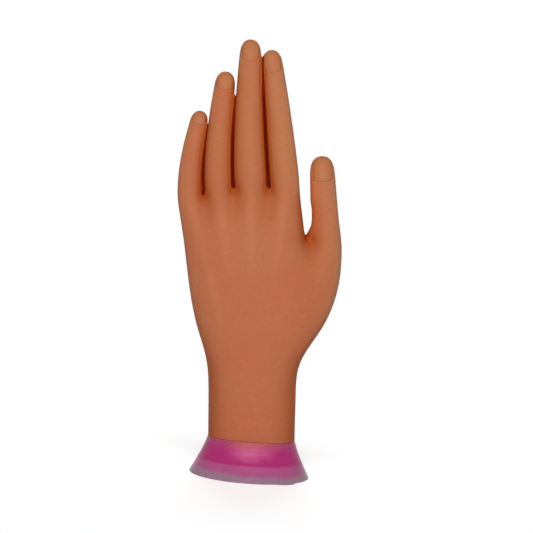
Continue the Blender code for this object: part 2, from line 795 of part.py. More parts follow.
def cup_solid():
    outer, socket, _ = collar_sizes()

    def cone(height, proud=0.0, tab=0.0):
        share = ((CUP_HEIGHT - height) / CUP_HEIGHT) ** CUP_FLARE
        return oval(outer[0] + proud, outer[1] + proud, height, share, CUP_RIM_RADIUS + proud, tab)

    def turned(radius, height):
        return oval(0, 0, height, 1, radius)

    inside = CUP_RIM_RADIUS - SKIRT_EDGE
    slope = (CUP_RIM_RADIUS - outer[0]) / CUP_HEIGHT * CUP_FLARE
    ring, proud = CUP_RING_HEIGHT, CUP_RING_PROUD
    dome, skirt = CUP_HOLLOW_HEIGHT, SKIRT_ROOT_HEIGHT
    skirt_root = inside - slope * skirt - (SKIRT_WALL - SKIRT_EDGE)
    knob, bead, knob_top = KNOB_RADIUS, KNOB_RADIUS + KNOB_BEAD, SOCKET_FLOOR + KNOB_HEIGHT
    rings = [
        *[turned(inside * share, dome - drop) for share, drop in CUP_DOME],
        turned(skirt_root - SKIRT_ROOT_STEP, mix(skirt, dome, 0.35)), turned(skirt_root, skirt),
        turned(mix(inside, skirt_root, 0.37), skirt * 0.40), turned(inside, 0),
        cone(0, tab=PULL_TAB_LENGTH), cone(PULL_TAB_THICKNESS, tab=PULL_TAB_LENGTH),
        cone(PULL_TAB_THICKNESS + 0.0004),
        cone(ring - 0.0009), cone(ring - 0.0004, proud), cone(ring + 0.0004, proud), cone(ring + 0.0009),
        cone(mix(ring, CUP_HEIGHT, 0.45)), cone(mix(ring, CUP_HEIGHT, 0.75)),
        cone(CUP_HEIGHT - 0.0005), cone(CUP_HEIGHT, -0.0004),
        oval(*socket, CUP_HEIGHT), oval(*socket, SOCKET_FLOOR),
        turned(knob, SOCKET_FLOOR), turned(knob, knob_top - 0.0045), turned(bead, knob_top - 0.0035),
        turned(bead, knob_top - 0.0020), turned(knob, knob_top - 0.0008), turned(knob - 0.0008, knob_top),
    ]
    return ring_solid(rings)


def collar_cutter():
    """Takes the outside of the wrist away below the collar's lip, down to the spigot."""
    _, _, spigot = collar_sizes()
    low, high, far = SOCKET_FLOOR - 0.002, CUP_HEIGHT + SEAM, WRIST_WIDTH
    rings = [oval(*spigot, low), oval(far, far, low), oval(far, far, high), oval(*spigot, high)]
    return ring_solid(rings, start=False, end=False)


PLUG_LOW = SOCKET_FLOOR + SEAM
PLUG_TOP = PLUG_LOW + PLUG_HEIGHT


def plug_solid(grow=0.0):
    half = (PLUG_WIDTH / 2 + grow, PLUG_DEPTH / 2 + grow)
    chamfer = 0.0 if grow else 0.0008
    low = PLUG_LOW - (0.003 if grow else 0)
    rings = [oval(*half, low), oval(*half, PLUG_TOP + grow - chamfer)]
    if chamfer:
        rings.append(oval(half[0] - chamfer, half[1] - chamfer, PLUG_TOP))
    return ring_solid(rings)


def knob_bore():
    knob, bead = KNOB_RADIUS + SEAM, KNOB_RADIUS + KNOB_BEAD + SEAM
    knob_top = SOCKET_FLOOR + KNOB_HEIGHT

    def turned(radius, height):
        return oval(0, 0, height, 1, radius)

    return ring_solid([
        turned(knob, PLUG_LOW - 0.002), turned(knob, knob_top - 0.0048), turned(bead, knob_top - 0.0038),
        turned(bead, knob_top - 0.0017), turned(knob, knob_top - 0.0005), turned(knob, knob_top + SEAM),
    ])


# The whole hand


def add_finger(finger, hand, hand_empty):
    """Adds a finger's cuffs, firm lengths, nail and wire, and returns the cutter of the wire's channel."""
    region = {1 + FINGERS.index(finger)}
    path = wire_path(finger)
    channel = add_cutter(f"{finger.name}_wire_channel", tube(path, WIRE_RADIUS + SEAM, SEAM), hand_empty)
    add_object(f"{finger.name}_wire", tube(path, WIRE_RADIUS), hand_empty, WIRE_STEEL, metallic=1.0)
    knuckles = knuckles_of(finger)
    parent, parent_frame = hand_empty, Matrix()
    for i, knuckle in enumerate(knuckles):
        cuff = surface(hand, region)
        point, along = knuckle.plane(-knuckle.half_length)
        trim(cuff, point, -along)
        trim(cuff, *knuckle.plane(knuckle.half_length))
        made = add_object(f"{knuckle.name}_knuckle", close(cuff), parent, KNUCKLE_SKIN, parent_frame)
        cut_away(made, channel)

        joint = empty(f"{knuckle.name}_joint", parent_frame.inverted() @ knuckle.frame, parent)
        length = surface(hand, region)
        point, along = knuckle.plane(knuckle.half_length + SEAM)
        trim(length, point, -along)
        is_tip = i + 1 == len(knuckles)
        if not is_tip:
            trim(length, *knuckles[i + 1].plane(-knuckles[i + 1].half_length - SEAM))
        name = f"{finger.name}_fingertip" if is_tip else f"{knuckle.name}_length"
        made = add_object(name, close(length), joint, SKIN, knuckle.frame)
        cut_away(made, channel)
        if is_tip:
            bed = add_cutter(f"{finger.name}_nail_bed", nail_bed(finger), hand_empty)
            cut_away(made, bed)
            slide = empty(f"{finger.name}_nail_slide", knuckle.frame.inverted() @ nail_frame(finger), joint)
            add_object(f"{finger.name}_nail", nail_plate(finger), slide, NAIL, nail_frame(finger))
        parent, parent_frame = joint, knuckle.frame
    return channel


def main():
    clear_scene()
    hand_place = Matrix.Translation((0, 0, CUP_HEIGHT)) @ Matrix.Rotation(-HAND_LEAN, 4, "Y")
    root = empty("practice_hand", Matrix(), None)
    hand_empty = empty("hand", hand_place, root)
    bpy.context.view_layer.update()
    hand = smoothed_hand(hand_empty)
    to_hand = hand_place.inverted()
    up = to_hand.to_3x3() @ Vector((0, 0, 1))

    channels = [add_finger(finger, hand, hand_empty) for finger in FINGERS]

    skin = surface(hand, range(1 + len(FINGERS)))
    for i, finger in enumerate(FINGERS):
        first = knuckles_of(finger)[0]
        trim(skin, *first.plane(-first.half_length - SEAM), region=1 + i)
    trim(skin, to_hand @ Vector((0, 0, PLUG_LOW)), -up)
    palm = add_object("palm_skin", close(skin), hand_empty, SKIN)

    collar = add_cutter("collar_step", collar_cutter(), root)
    plug_room = add_cutter("plug_room", plug_solid(grow=SEAM), root)
    core_room = add_cutter("core_room", core_block(grow=SEAM), hand_empty)
    cut_away(palm, collar, plug_room, core_room, *channels)

    core = core_block()
    trim(core, to_hand @ Vector((0, 0, PLUG_TOP + SEAM)), -up)
    core_obj = add_object("palm_core", close(core), hand_empty, CORE_WHITE)
    cut_away(core_obj, *channels)

    plug = add_object("wrist_plug", plug_solid(), root, PLUG_WHITE)
    cut_away(plug, add_cutter("knob_bore", knob_bore(), root))
    add_object("suction_cup", cup_solid(), root, CUP_PINK)

    # The middle of the whole hand's box stands over the origin
    bpy.context.view_layer.update()
    shown = [o for o in bpy.data.objects if o.type == "MESH" and not o.hide_render]
    corners = [o.matrix_world @ v.co for o in shown for v in o.data.vertices]
    xs, ys = [c.x for c in corners], [c.y for c in corners]
    root.location = (-(min(xs) + max(xs)) / 2, -(min(ys) + max(ys)) / 2, 0)


main()
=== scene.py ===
"""Nail practice hand: a soft vinyl left hand with wired, bendable fingers and slide-in nails, on a pink suction cup.

Lengths are in metres and +Z is up. The hand's own frame stands on the cup's top with Z along the hand, X towards
the thumb and Y towards the palm. The hand leans a little on the cup, towards the little finger.
"""

import math
from dataclasses import dataclass

import bmesh
import bpy
import numpy as np
from bpy.props import FloatProperty, FloatVectorProperty, IntProperty, PointerProperty
from mathutils import Matrix, Vector
from mathutils.bvhtree import BVHTree


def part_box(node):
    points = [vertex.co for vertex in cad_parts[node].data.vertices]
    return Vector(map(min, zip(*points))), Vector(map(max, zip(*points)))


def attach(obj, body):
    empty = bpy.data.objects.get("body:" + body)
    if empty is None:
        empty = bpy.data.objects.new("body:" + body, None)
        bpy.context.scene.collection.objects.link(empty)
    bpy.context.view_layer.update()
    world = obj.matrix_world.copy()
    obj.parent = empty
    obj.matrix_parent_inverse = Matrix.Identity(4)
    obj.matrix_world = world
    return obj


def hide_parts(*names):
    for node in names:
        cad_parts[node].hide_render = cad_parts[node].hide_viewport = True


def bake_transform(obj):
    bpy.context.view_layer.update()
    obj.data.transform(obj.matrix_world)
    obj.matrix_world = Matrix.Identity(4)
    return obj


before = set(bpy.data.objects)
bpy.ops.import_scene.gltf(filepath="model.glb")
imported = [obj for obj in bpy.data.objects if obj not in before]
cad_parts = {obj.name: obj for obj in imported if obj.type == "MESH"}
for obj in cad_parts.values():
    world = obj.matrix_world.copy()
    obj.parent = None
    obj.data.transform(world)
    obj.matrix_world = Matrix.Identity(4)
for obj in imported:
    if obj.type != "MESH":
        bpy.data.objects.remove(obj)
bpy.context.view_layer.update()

bl_info = {
    "name": "Nail Practice Hand",
    "version": (1, 0, 0),
    "blender": (4, 5, 0),
    "location": "3D View > Sidebar > Practice Hand",
    "description": "Builds a bendable vinyl practice hand with slide-in nails on a suction cup",
    "category": "Object",
}

# Cup and the hand's place on it
CUP_HEIGHT = 0.0179
CUP_RIM_RADIUS = 0.0298
CUP_FLARE = 1.25
CUP_RING_HEIGHT = 0.0073
CUP_RING_PROUD = 0.00020
CUP_RING_WIDTH = 0.00045
SKIRT_EDGE = 0.0012
SKIRT_WALL = 0.0017
SKIRT_ROOT_HEIGHT = 0.0040
SKIRT_ROOT_STEP = 0.0028
CUP_HOLLOW_HEIGHT = 0.0080
CUP_DOME = ((0.30, 0.0003), (0.58, 0.0013))
COLLAR_WALL = 0.0013
COLLAR_STEP = 0.00015
SOCKET_DEPTH = 0.0070
KNOB_RADIUS = 0.0060
KNOB_BEAD = 0.0007
KNOB_HEIGHT = 0.0110
PULL_TAB_LENGTH = 0.0020
PULL_TAB_WIDTH = 0.0130
PULL_TAB_THICKNESS = 0.0013
PULL_TAB_ANGLE = math.radians(-52)
CUP_SEGMENTS = 144
GAP = 0.0003

# Wrist and palm
HAND_LEAN = math.radians(4.0)
WRIST_WIDTH = 0.0433
WRIST_DEPTH = 0.0326
OVAL_POWER = 2.2
# Height, little finger's side, thumb's side, back, palm face
PALM_STATIONS = (
    (0.019, 0.0215, 0.0222, 0.0158, 0.0163),
    (0.034, 0.0215, 0.0223, 0.0148, 0.0163),
    (0.044, 0.0236, 0.0279, 0.0142, 0.0163),
    (0.054, 0.0271, 0.0358, 0.0138, 0.0163),
    (0.064, 0.0295, 0.0410, 0.0133, 0.0160),
    (0.075, 0.0313, 0.0446, 0.0127, 0.0153),
    (0.086, 0.0327, 0.0461, 0.0121, 0.0143),
    (0.097, 0.0339, 0.0463, 0.0112, 0.0129),
)
PALM_POWER = 2.5
SPIGOT_ROWS = (-0.018, -0.008, 0.004)
# Share across, height, share reached, length reached, rise
PALM_RELIEF = (
    (0.80, 0.060, 0.30, 0.030, 0.0040),
    (0.18, 0.048, 0.24, 0.032, 0.0024),
    (0.48, 0.080, 0.22, 0.022, -0.0016),
)
ROWS_ABOVE_THUMB = 4
PALM_COLUMNS = 15  # on each face, between the hand's two edges
LONG_COLUMNS = 12  # of them below the long fingers, three each, and the others below the thumb
THUMB_SHIFT_START, THUMB_SHIFT_SPAN = 0.55, 0.35
VALLEY_POWER = 1.7
WEB_DROP = 0.0032
WEB_GAP = 0.0020
WEB_RAISE = 0.0008
THUMB_WEB_HOLLOW = 0.0024
THUMB_WEB_HOLLOW_LENGTH = 0.024

# Fingers
SECTION_FULLNESS = 0.74
FINGER_DEPTH_SHARE = 0.88
TIP_LENGTH_SHARE = 0.74
TIP_POWER = 2.5
TIP_RINGS = (0.56, 0.26, 0.08, 0.012)
TIP_PEAK = 0.0002
FIRST_RING = 0.0030
RING_SPACING = 0.0082
BOW_SKEW = 0.8
FINGER_CURL = 0.0022
PAD_BULGE = 0.0004
FOLLOW = (2 + math.cos(math.pi / 4)) / 3
ROOT_MARGIN = 0.0013
KNUCKLE_EASE = 0.00025
LITTLE_RING_WEB = 0.1209
RING_MIDDLE_WEB = 0.1246
MIDDLE_INDEX_WEB = 0.1246
THUMB_WEB = 0.1009
THUMB_WEB_X = 0.0276

# Nails
NAIL_WIDTH_SHARE = 0.74
NAIL_ROOT = 0.0022
NAIL_CUTICLE_ARC = 0.0021
NAIL_EDGE_ARC = 0.0028
NAIL_SETBACK = 0.0006
NAIL_RISE = 0.0022

# Wires
WIRE_RADIUS = 0.0008
WIRE_GRIP = 0.0035
WIRE_ANCHOR = 0.0120
CORE_TOP = 0.0960


@dataclass(frozen=True)
class Finger:
    """One finger, in the hand's frame."""

    name: str
    root_x: float
    little_web: float
    thumb_web: float
    tip_x: float
    tip_height: float
    bow: float
    forward: float
    root_width: float
    tip_width: float
    taper: float
    cuticle: float
    knuckles: tuple  # name, height and largest bend, from the palm up
    anchor: tuple

    @property
    def web(self):
        return max(self.little_web, self.thumb_web)

    @property
    def root_cut(self):
        return self.web + ROOT_MARGIN


FINGERS = (
    Finger(
        "little",
        root_x=-0.0308, little_web=LITTLE_RING_WEB, thumb_web=LITTLE_RING_WEB,
        tip_x=-0.0251, tip_height=0.1625, bow=-0.0016, forward=0.0008,
        root_width=0.0118, tip_width=0.0080, taper=1.5, cuticle=0.1550,
        knuckles=(("base", None, 65), ("middle", 0.1384, 80), ("tip", 0.1488, 50)),
        anchor=(-0.0215, CORE_TOP),
    ),
    Finger(
        "ring",
        root_x=-0.0164, little_web=LITTLE_RING_WEB, thumb_web=RING_MIDDLE_WEB,
        tip_x=-0.0126, tip_height=0.1820, bow=-0.0014, forward=0.0003,
        root_width=0.0137, tip_width=0.0094, taper=1.5, cuticle=0.1721,
        knuckles=(("base", None, 65), ("middle", 0.1470, 80), ("tip", 0.1631, 50)),
        anchor=(-0.0115, CORE_TOP),
    ),
    Finger(
        "middle",
        root_x=-0.0004, little_web=RING_MIDDLE_WEB, thumb_web=MIDDLE_INDEX_WEB,
        tip_x=-0.0005, tip_height=0.1979, bow=-0.0010, forward=0.0,
        root_width=0.0162, tip_width=0.0097, taper=1.5, cuticle=0.1864,
        knuckles=(("base", None, 65), ("middle", 0.1539, 80), ("tip", 0.1744, 50)),
        anchor=(-0.0003, CORE_TOP),
    ),
    Finger(
        "index",
        root_x=0.0165, little_web=MIDDLE_INDEX_WEB, thumb_web=MIDDLE_INDEX_WEB,
        tip_x=0.0094, tip_height=0.1927, bow=0.0003, forward=0.0002,
        root_width=0.0145, tip_width=0.0093, taper=1.5, cuticle=0.18075,
        knuckles=(("base", None, 65), ("middle", 0.1518, 80), ("tip", 0.1709, 50)),
        anchor=(0.0115, CORE_TOP),
    ),
    Finger(
        "thumb",
        root_x=0.0367, little_web=THUMB_WEB, thumb_web=THUMB_WEB,
        tip_x=0.0348, tip_height=0.1403, bow=0.0, forward=0.0030,
        root_width=0.0154, tip_width=0.0120, taper=0.5, cuticle=0.1267,
        knuckles=(("lower", None, 45), ("tip", 0.1194, 60)),
        anchor=(0.0215, 0.0720),
    ),
)
LITTLE, RING, MIDDLE, INDEX, THUMB = FINGERS
LONG_FINGERS = (LITTLE, RING, MIDDLE, INDEX)

# The cup's axis stands where the wrist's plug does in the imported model
_plug_low, _plug_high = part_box("wrist_plug")
CUP_AXIS = Vector(((_plug_low.x + _plug_high.x) / 2, (_plug_low.y + _plug_high.y) / 2, 0))
HAND_PLACE = Matrix.Translation(CUP_AXIS + Vector((0, 0, CUP_HEIGHT))) @ Matrix.Rotation(-HAND_LEAN, 4, "Y")

OCTAGON = (
    (-1, 0), (-SECTION_FULLNESS, -SECTION_FULLNESS), (0, -1), (SECTION_FULLNESS, -SECTION_FULLNESS),
    (1, 0), (SECTION_FULLNESS, SECTION_FULLNESS), (0, 1), (-SECTION_FULLNESS, SECTION_FULLNESS),
)


def mix(a, b, share):
    return a + (b - a) * share


def ease(value):
    value = min(max(value, 0.0), 1.0)
    return value * value * (3 - 2 * value)


def smooth_step(values, low, high):
    share = np.clip((values - low) / (high - low), 0, 1)
    return share * share * (3 - 2 * share)


def hump(distance, width):
    """1 on a line and 0 well away from it."""
    return np.exp(-((distance / width) ** 2))


def plateau(values, start, full, fade, end):
    """Rises from 0 at start to 1 at full, and falls from 1 at fade to 0 at end."""
    return smooth_step(values, start, full) * (1 - smooth_step(values, fade, end))


def add_object(name, data):
    made = bpy.data.objects.new(name, data)
    bpy.context.scene.collection.objects.link(made)
    return made


# A finger's line and sections


def finger_share(finger, height):
    return (height - finger.web) / (finger.tip_height - finger.web)


def centre(finger, height):
    share = finger_share(finger, height)
    bowed = max(share, 0) ** BOW_SKEW
    x = mix(finger.root_x, finger.tip_x, share) + 4 * finger.bow * bowed * (1 - bowed)
    y = finger.forward + FINGER_CURL * max(share, 0) ** 2
    return Vector((x, y, height))


def section_frame(finger, height):
    step = 0.0005
    along = (centre(finger, height + step) - centre(finger, height - step)).normalized()
    across = Vector((along.z, 0, -along.x)).normalized()
    placed = Matrix((across, along.cross(across), along)).transposed().to_4x4()
    placed.translation = centre(finger, height)
    return placed


def plain_width(finger, height):
    share = min(max(finger_share(finger, height), 0), 1)
    return mix(finger.root_width, finger.tip_width, share**finger.taper)


def tip_length(finger):
    return TIP_LENGTH_SHARE * finger.tip_width


def rounding(finger, height):
    left = min(max((finger.tip_height - height) / tip_length(finger), 0), 1)
    return (1 - (1 - left) ** TIP_POWER) ** (1 / TIP_POWER)


def half_width(finger, height):
    return plain_width(finger, height) / 2 * rounding(finger, height)


def half_depth(finger, height):
    return half_width(finger, height) * FINGER_DEPTH_SHARE


def finger_ring(finger, height):
    placed = section_frame(finger, height)
    wide, deep = half_width(finger, height) / FOLLOW, half_depth(finger, height) / FOLLOW
    pad = PAD_BULGE * math.sin(math.pi * min(max(finger_share(finger, height), 0), 1) ** 3)
    return [placed @ Vector((x * wide, y * deep + max(y, 0) * pad, 0)) for x, y in OCTAGON]


def ring_heights(finger):
    low, high = finger.web + FIRST_RING, finger.tip_height - tip_length(finger)
    count = max(math.ceil((high - low) / RING_SPACING), 2)
    body = [mix(low, high, i / count) for i in range(count + 1)]
    return body + [finger.tip_height - tip_length(finger) * share for share in TIP_RINGS]


@dataclass(frozen=True)
class Knuckle:
    place: Matrix  # X on the joint's axis and Z along the finger
    half_length: float


def knuckles_of(finger):
    found = []
    for _, height, bend in finger.knuckles:
        level = height or finger.root_cut
        half = (half_depth(finger, level) + PAD_BULGE / 2) * math.tan(math.radians(bend / 2)) + KNUCKLE_EASE
        if height is None:
            level = finger.root_cut + GAP + half
        found.append(Knuckle(section_frame(finger, level), half))
    return found


# The control mesh of the hand


class Cage:
    """The control mesh of the hand's surface, made of four-sided faces only."""

    def __init__(self):
        self.bm = bmesh.new()

    def points(self, places):
        return [self.bm.verts.new(place) for place in places]

    def face(self, corners, region):
        self.bm.faces.new(corners).material_index = region

    def band(self, lower, upper, region):
        count = len(lower)
        for i in range(count):
            j = (i + 1) % count
            self.face((lower[i], lower[j], upper[j], upper[i]), region)

    def close_tip(self, ring, peak, region):
        top = self.bm.verts.new(peak)
        for i in range(0, len(ring), 2):
            self.face((ring[i - 1], ring[i], ring[i + 1], top), region)


def arch(share, power):
    return (1 - abs(2 * share - 1) ** power) ** (1 / power)


def knuckle_columns():
    back, front = [], []
    for finger in LONG_FINGERS:
        low = (finger.little_web, (finger.little_web + finger.thumb_web) / 2, finger.thumb_web)
        for side, web in zip((-1, 0, 1), low):
            full = 1 if side == 0 else SECTION_FULLNESS
            x = finger.root_x + side * SECTION_FULLNESS * finger.root_width / 2 / FOLLOW
            deep = full * finger.root_width * FINGER_DEPTH_SHARE / 2 / FOLLOW
            back.append(Vector((x, finger.forward - deep, web - WEB_DROP)))
            front.append(Vector((x, finger.forward + deep, web - WEB_DROP)))
    return back, front


def column_shares():
    at_wrist = [(1 - math.cos(math.pi * (i + 1) / (PALM_COLUMNS + 1))) / 2 for i in range(PALM_COLUMNS)]
    knuckles, _ = knuckle_columns()
    left = LITTLE.root_x - LITTLE.root_width / 2
    right = INDEX.root_x + INDEX.root_width / 2
    top = PALM_STATIONS[-1]
    breadth = top[1] + top[2]
    at_thumb = [(p.x - left) / (right - left) * (THUMB_WEB_X + top[1]) / breadth for p in knuckles]
    reach = SECTION_FULLNESS * THUMB.root_width / 2
    at_thumb += [(THUMB.root_x + side * reach + top[1]) / breadth for side in (-1, 0, 1)]
    return at_wrist, at_thumb


def palm_relief(share, height):
    out = 0.0
    for at, level, reach, length, rise in PALM_RELIEF:
        out += rise * math.exp(-(((share - at) / reach) ** 2) - ((height - level) / length) ** 2)
    return out


def palm_row(station):
    """A row of points, from the little finger's edge over the back to the thumb's edge and round by the front."""
    height, little_side, thumb_side, back, front = station
    at_wrist, at_thumb = column_shares()
    low, high = PALM_STATIONS[0][0], PALM_STATIONS[-1][0]
    up = ease((height - low) / (high - low))
    power = mix(OVAL_POWER, PALM_POWER, up)
    hollow = THUMB_WEB_HOLLOW * ease(1 - (high - height) / THUMB_WEB_HOLLOW_LENGTH)
    backs, fronts = [], []
    for i, (a, b) in enumerate(zip(at_wrist, at_thumb)):
        share = mix(a, b, up)
        x = -little_side + share * (little_side + thumb_side)
        shift = THUMB.forward * ease((share - THUMB_SHIFT_START) / THUMB_SHIFT_SPAN) * up
        pinch = hollow if i in (LONG_COLUMNS - 1, LONG_COLUMNS) else 0
        backs.append(Vector((x, shift + pinch - back * arch(share, power), height)))
        deep = front * arch(share, power) + palm_relief(share, height)
        fronts.append(Vector((x, shift - pinch + deep, height)))
    thumb_edge = Vector((thumb_side, THUMB.forward * up, height))
    return [Vector((-little_side, 0, height)), *backs, thumb_edge, *reversed(fronts)]


def grow_finger(cage, finger, root_ring, region):
    ring = root_ring
    for height in ring_heights(finger):
        upper = cage.points(finger_ring(finger, height))
        cage.band(ring, upper, region)
        ring = upper
    cage.close_tip(ring, centre(finger, finger.tip_height + TIP_PEAK), region)


def web_points(cage, x, height, y):
    return cage.points([Vector((x - WEB_GAP / 2, y, height)), Vector((x + WEB_GAP / 2, y, height))])


def build_cage():
    cage = Cage()
    wrist = (WRIST_WIDTH / 2, WRIST_WIDTH / 2, WRIST_DEPTH / 2, WRIST_DEPTH / 2)
    rows = [palm_row((h, *wrist)) for h in SPIGOT_ROWS] + [palm_row(s) for s in PALM_STATIONS]
    rings = [cage.points(row) for row in rows]
    for lower, upper in zip(rings, rings[1:]):
        cage.band(lower, upper, 0)
    top = rings[-1]

    last, first = LONG_COLUMNS, LONG_COLUMNS + 1  # the index finger's last column and the thumb's first
    thumb_low, thumb_high = web_points(cage, THUMB_WEB_X, THUMB_WEB, THUMB.forward / 2)
    cage.face((top[last], top[first], thumb_high, thumb_low), 0)
    cage.face((thumb_low, thumb_high, top[-first], top[-last]), 0)
    grow_finger(cage, THUMB, [thumb_high, *top[first:-last]], 1 + FINGERS.index(THUMB))

    backs, fronts = knuckle_columns()
    side_end = Vector((LITTLE.root_x - LITTLE.root_width / 2 / FOLLOW, 0, backs[0].z))
    index_end = Vector((INDEX.root_x + INDEX.root_width / 2 / FOLLOW, 0, backs[-1].z))
    ring = [*top[:first], thumb_low, *top[-last:]]
    start = [v.co.copy() for v in ring]
    end = [side_end, *backs, index_end, *fronts[::-1]]
    for row in range(1, ROWS_ABOVE_THUMB + 1):
        share = row / ROWS_ABOVE_THUMB
        places = []
        for i, (a, b) in enumerate(zip(start, end)):
            place = a.lerp(b, share)
            if i not in (0, first) and (i - (1 if i < first else first + 1)) % 3 != 1:
                place.y = mix(a.y, b.y, share**VALLEY_POWER)
            places.append(place)
        upper = cage.points(places)
        cage.band(ring, upper, 0)
        ring = upper

    lefts, rights = [ring[0]], []
    backs, fronts = ring[1:first], ring[first + 1 :][::-1]
    for i, (a, b) in enumerate(zip(LONG_FINGERS, LONG_FINGERS[1:])):
        edge_a, edge_b = a.root_x + a.root_width / 2, b.root_x - b.root_width / 2
        height = a.thumb_web + WEB_RAISE
        low, high = web_points(cage, (edge_a + edge_b) / 2, height, (a.forward + b.forward) / 2)
        cage.face((backs[3 * i + 2], backs[3 * i + 3], high, low), 0)
        cage.face((low, high, fronts[3 * i + 3], fronts[3 * i + 2]), 0)
        rights.append(low)
        lefts.append(high)
    rights.append(ring[first])
    for i, finger in enumerate(LONG_FINGERS):
        back, front = backs[3 * i : 3 * i + 3], fronts[3 * i : 3 * i + 3]
        grow_finger(cage, finger, [lefts[i], *back, rights[i], *front[::-1]], 1 + i)
    return cage.bm


def smoothed(levels):
    """The hand's smooth surface as a bmesh, with each face's region as its material index."""
    mesh = bpy.data.meshes.new("hand_cage")
    cage = build_cage()
    bmesh.ops.recalc_face_normals(cage, faces=cage.faces)
    cage.to_mesh(mesh)
    cage.free()
    guide = add_object("hand_cage", mesh)
    subdivided = guide.modifiers.new("Smooth", "SUBSURF")
    subdivided.levels = subdivided.render_levels = levels
    graph = bpy.context.evaluated_depsgraph_get()
    bm = bmesh.new()
    bm.from_object(guide, graph)
    bpy.data.objects.remove(guide)
    return bm


# Fine relief, pushed in or out along the skin


def line_distance(x, z, points):
    """Distance to a bent line, and the share of the way along it."""
    best = np.full(len(x), np.inf)
    along = np.zeros(len(x))
    count = len(points) - 1
    for i, ((ax, az), (bx, bz)) in enumerate(zip(points, points[1:])):
        dx, dz = bx - ax, bz - az
        t = np.clip(((x - ax) * dx + (z - az) * dz) / (dx * dx + dz * dz), 0, 1)
        distance = np.hypot(x - ax - t * dx, z - az - t * dz)
        nearer = distance < best
        best = np.where(nearer, distance, best)
        along = np.where(nearer, (i + t) / count, along)
    return best, along


def fade_ends(along, start=0.2, stop=0.8):
    return plateau(along, 0, start, stop, 1)


# Valleys that run down from the webs on the back: points in x and height, width and depth
BACK_VALLEYS = (
    (((-0.0236, 0.1240), (-0.0225, 0.1120), (-0.0215, 0.1020)), 0.0030, 0.0005),
    (((-0.0087, 0.1275), (-0.0085, 0.1160), (-0.0080, 0.1050)), 0.0032, 0.0006),
    (((0.0087, 0.1275), (0.0078, 0.1140), (0.0058, 0.0990)), 0.0032, 0.0007),
    (((0.0276, 0.1010), (0.0305, 0.0940), (0.0335, 0.0870)), 0.0045, 0.0008),
)
# Tendons and the low ridge at the hand's outer side
BACK_RIDGES = (
    (((-0.0305, 0.1230), (-0.0270, 0.1020), (-0.0200, 0.0760)), 0.0034, 0.0003),
    (((-0.0164, 0.1260), (-0.0145, 0.1040), (-0.0105, 0.0740)), 0.0034, 0.0004),
    (((-0.0004, 0.1290), (-0.0005, 0.1050), (-0.0005, 0.0740)), 0.0036, 0.0004),
    (((0.0165, 0.1270), (0.0150, 0.1040), (0.0100, 0.0740)), 0.0036, 0.0004),
    (((-0.0226, 0.0900), (-0.0190, 0.0720), (-0.0130, 0.0500)), 0.0026, 0.0003),
)
# Creases of the palm's face
PALM_CREASES = (
    (((0.0250, 0.1000), (0.0120, 0.0930), (0.0020, 0.0790), (-0.0010, 0.0560), (0.0000, 0.0400)), 0.0013, 0.0007),
    (((0.0265, 0.1015), (0.0100, 0.0985), (-0.0080, 0.0900), (-0.0240, 0.0790)), 0.0012, 0.0006),
    (((-0.0320, 0.1000), (-0.0160, 0.1010), (0.0000, 0.1070), (0.0085, 0.1170)), 0.0012, 0.0006),
    (((-0.0170, 0.0230), (0.0000, 0.0245), (0.0170, 0.0230)), 0.0012, 0.0004),
)
BACK_FACING = (0.15, 0.75)
DIP_FACING = (0.1, 0.6)
CREST_FACING = (0.2, 0.7)
CREST_SHARE_OF_WIDTH = 0.8
FINGER_CREASE_DEPTH = 0.00026
FINGER_CREASE_WIDTH = 0.0017
FINGER_CREASE_REACH = 0.42  # across the finger, as a share of its width
ROOT_CREASE_RAISE = 0.0035
# The creases at a knuckle: widths above its middle, and share of the depth
KNUCKLE_CREASES = ((0, 1), (2.4, 0.5))


def dip(points, normals):
    """-1 along the bottom of the valleys that run down from the webs, 0 away from them."""
    x, _, z = points.T
    out = np.zeros(len(x))
    for path, width, _ in BACK_VALLEYS:
        distance, along = line_distance(x, z, path)
        out -= hump(distance, width) * (1 - smooth_step(along, 0.3, 1)) * smooth_step(-normals[:, 1], *DIP_FACING)
    return out


def crest(points, normals):
    """1 along the ridges of the hand's back, 0 away from them. It places a painted highlight along them."""
    x, _, z = points.T
    out = np.zeros(len(x))
    for path, width, _ in BACK_RIDGES:
        distance, along = line_distance(x, z, path)
        out = np.maximum(out, hump(distance, width * CREST_SHARE_OF_WIDTH) * fade_ends(along, 0.3, 0.6))
    return out * smooth_step(-normals[:, 1], *CREST_FACING)


def relief(points, normals, settings):
    """How far each point of the skin moves out, in metres."""
    x, _, z = points.T
    back, front = (smooth_step(side * normals[:, 1], *BACK_FACING) for side in (-1, 1))
    out = np.zeros(len(x))
    for lines, side, scale in (
        (BACK_VALLEYS, back, -settings.valley_depth),
        (BACK_RIDGES, back, settings.tendon_height),
        (PALM_CREASES, front, -settings.crease_depth),
    ):
        for path, width, height in lines:
            distance, along = line_distance(x, z, path)
            out += side * scale * height * hump(distance, width) * fade_ends(along, 0.25, 0.45)
    for finger in FINGERS:
        for i, (_, height, _) in enumerate(finger.knuckles):
            level = height or finger.root_cut + ROOT_CREASE_RAISE
            near = front * hump(x - centre(finger, level).x, finger.root_width * FINGER_CREASE_REACH)
            for widths, share in KNUCKLE_CREASES if i else KNUCKLE_CREASES[:1]:
                crease = hump(z - level - widths * FINGER_CREASE_WIDTH, FINGER_CREASE_WIDTH)
                out -= settings.crease_depth * FINGER_CREASE_DEPTH * share * near * crease
    return out


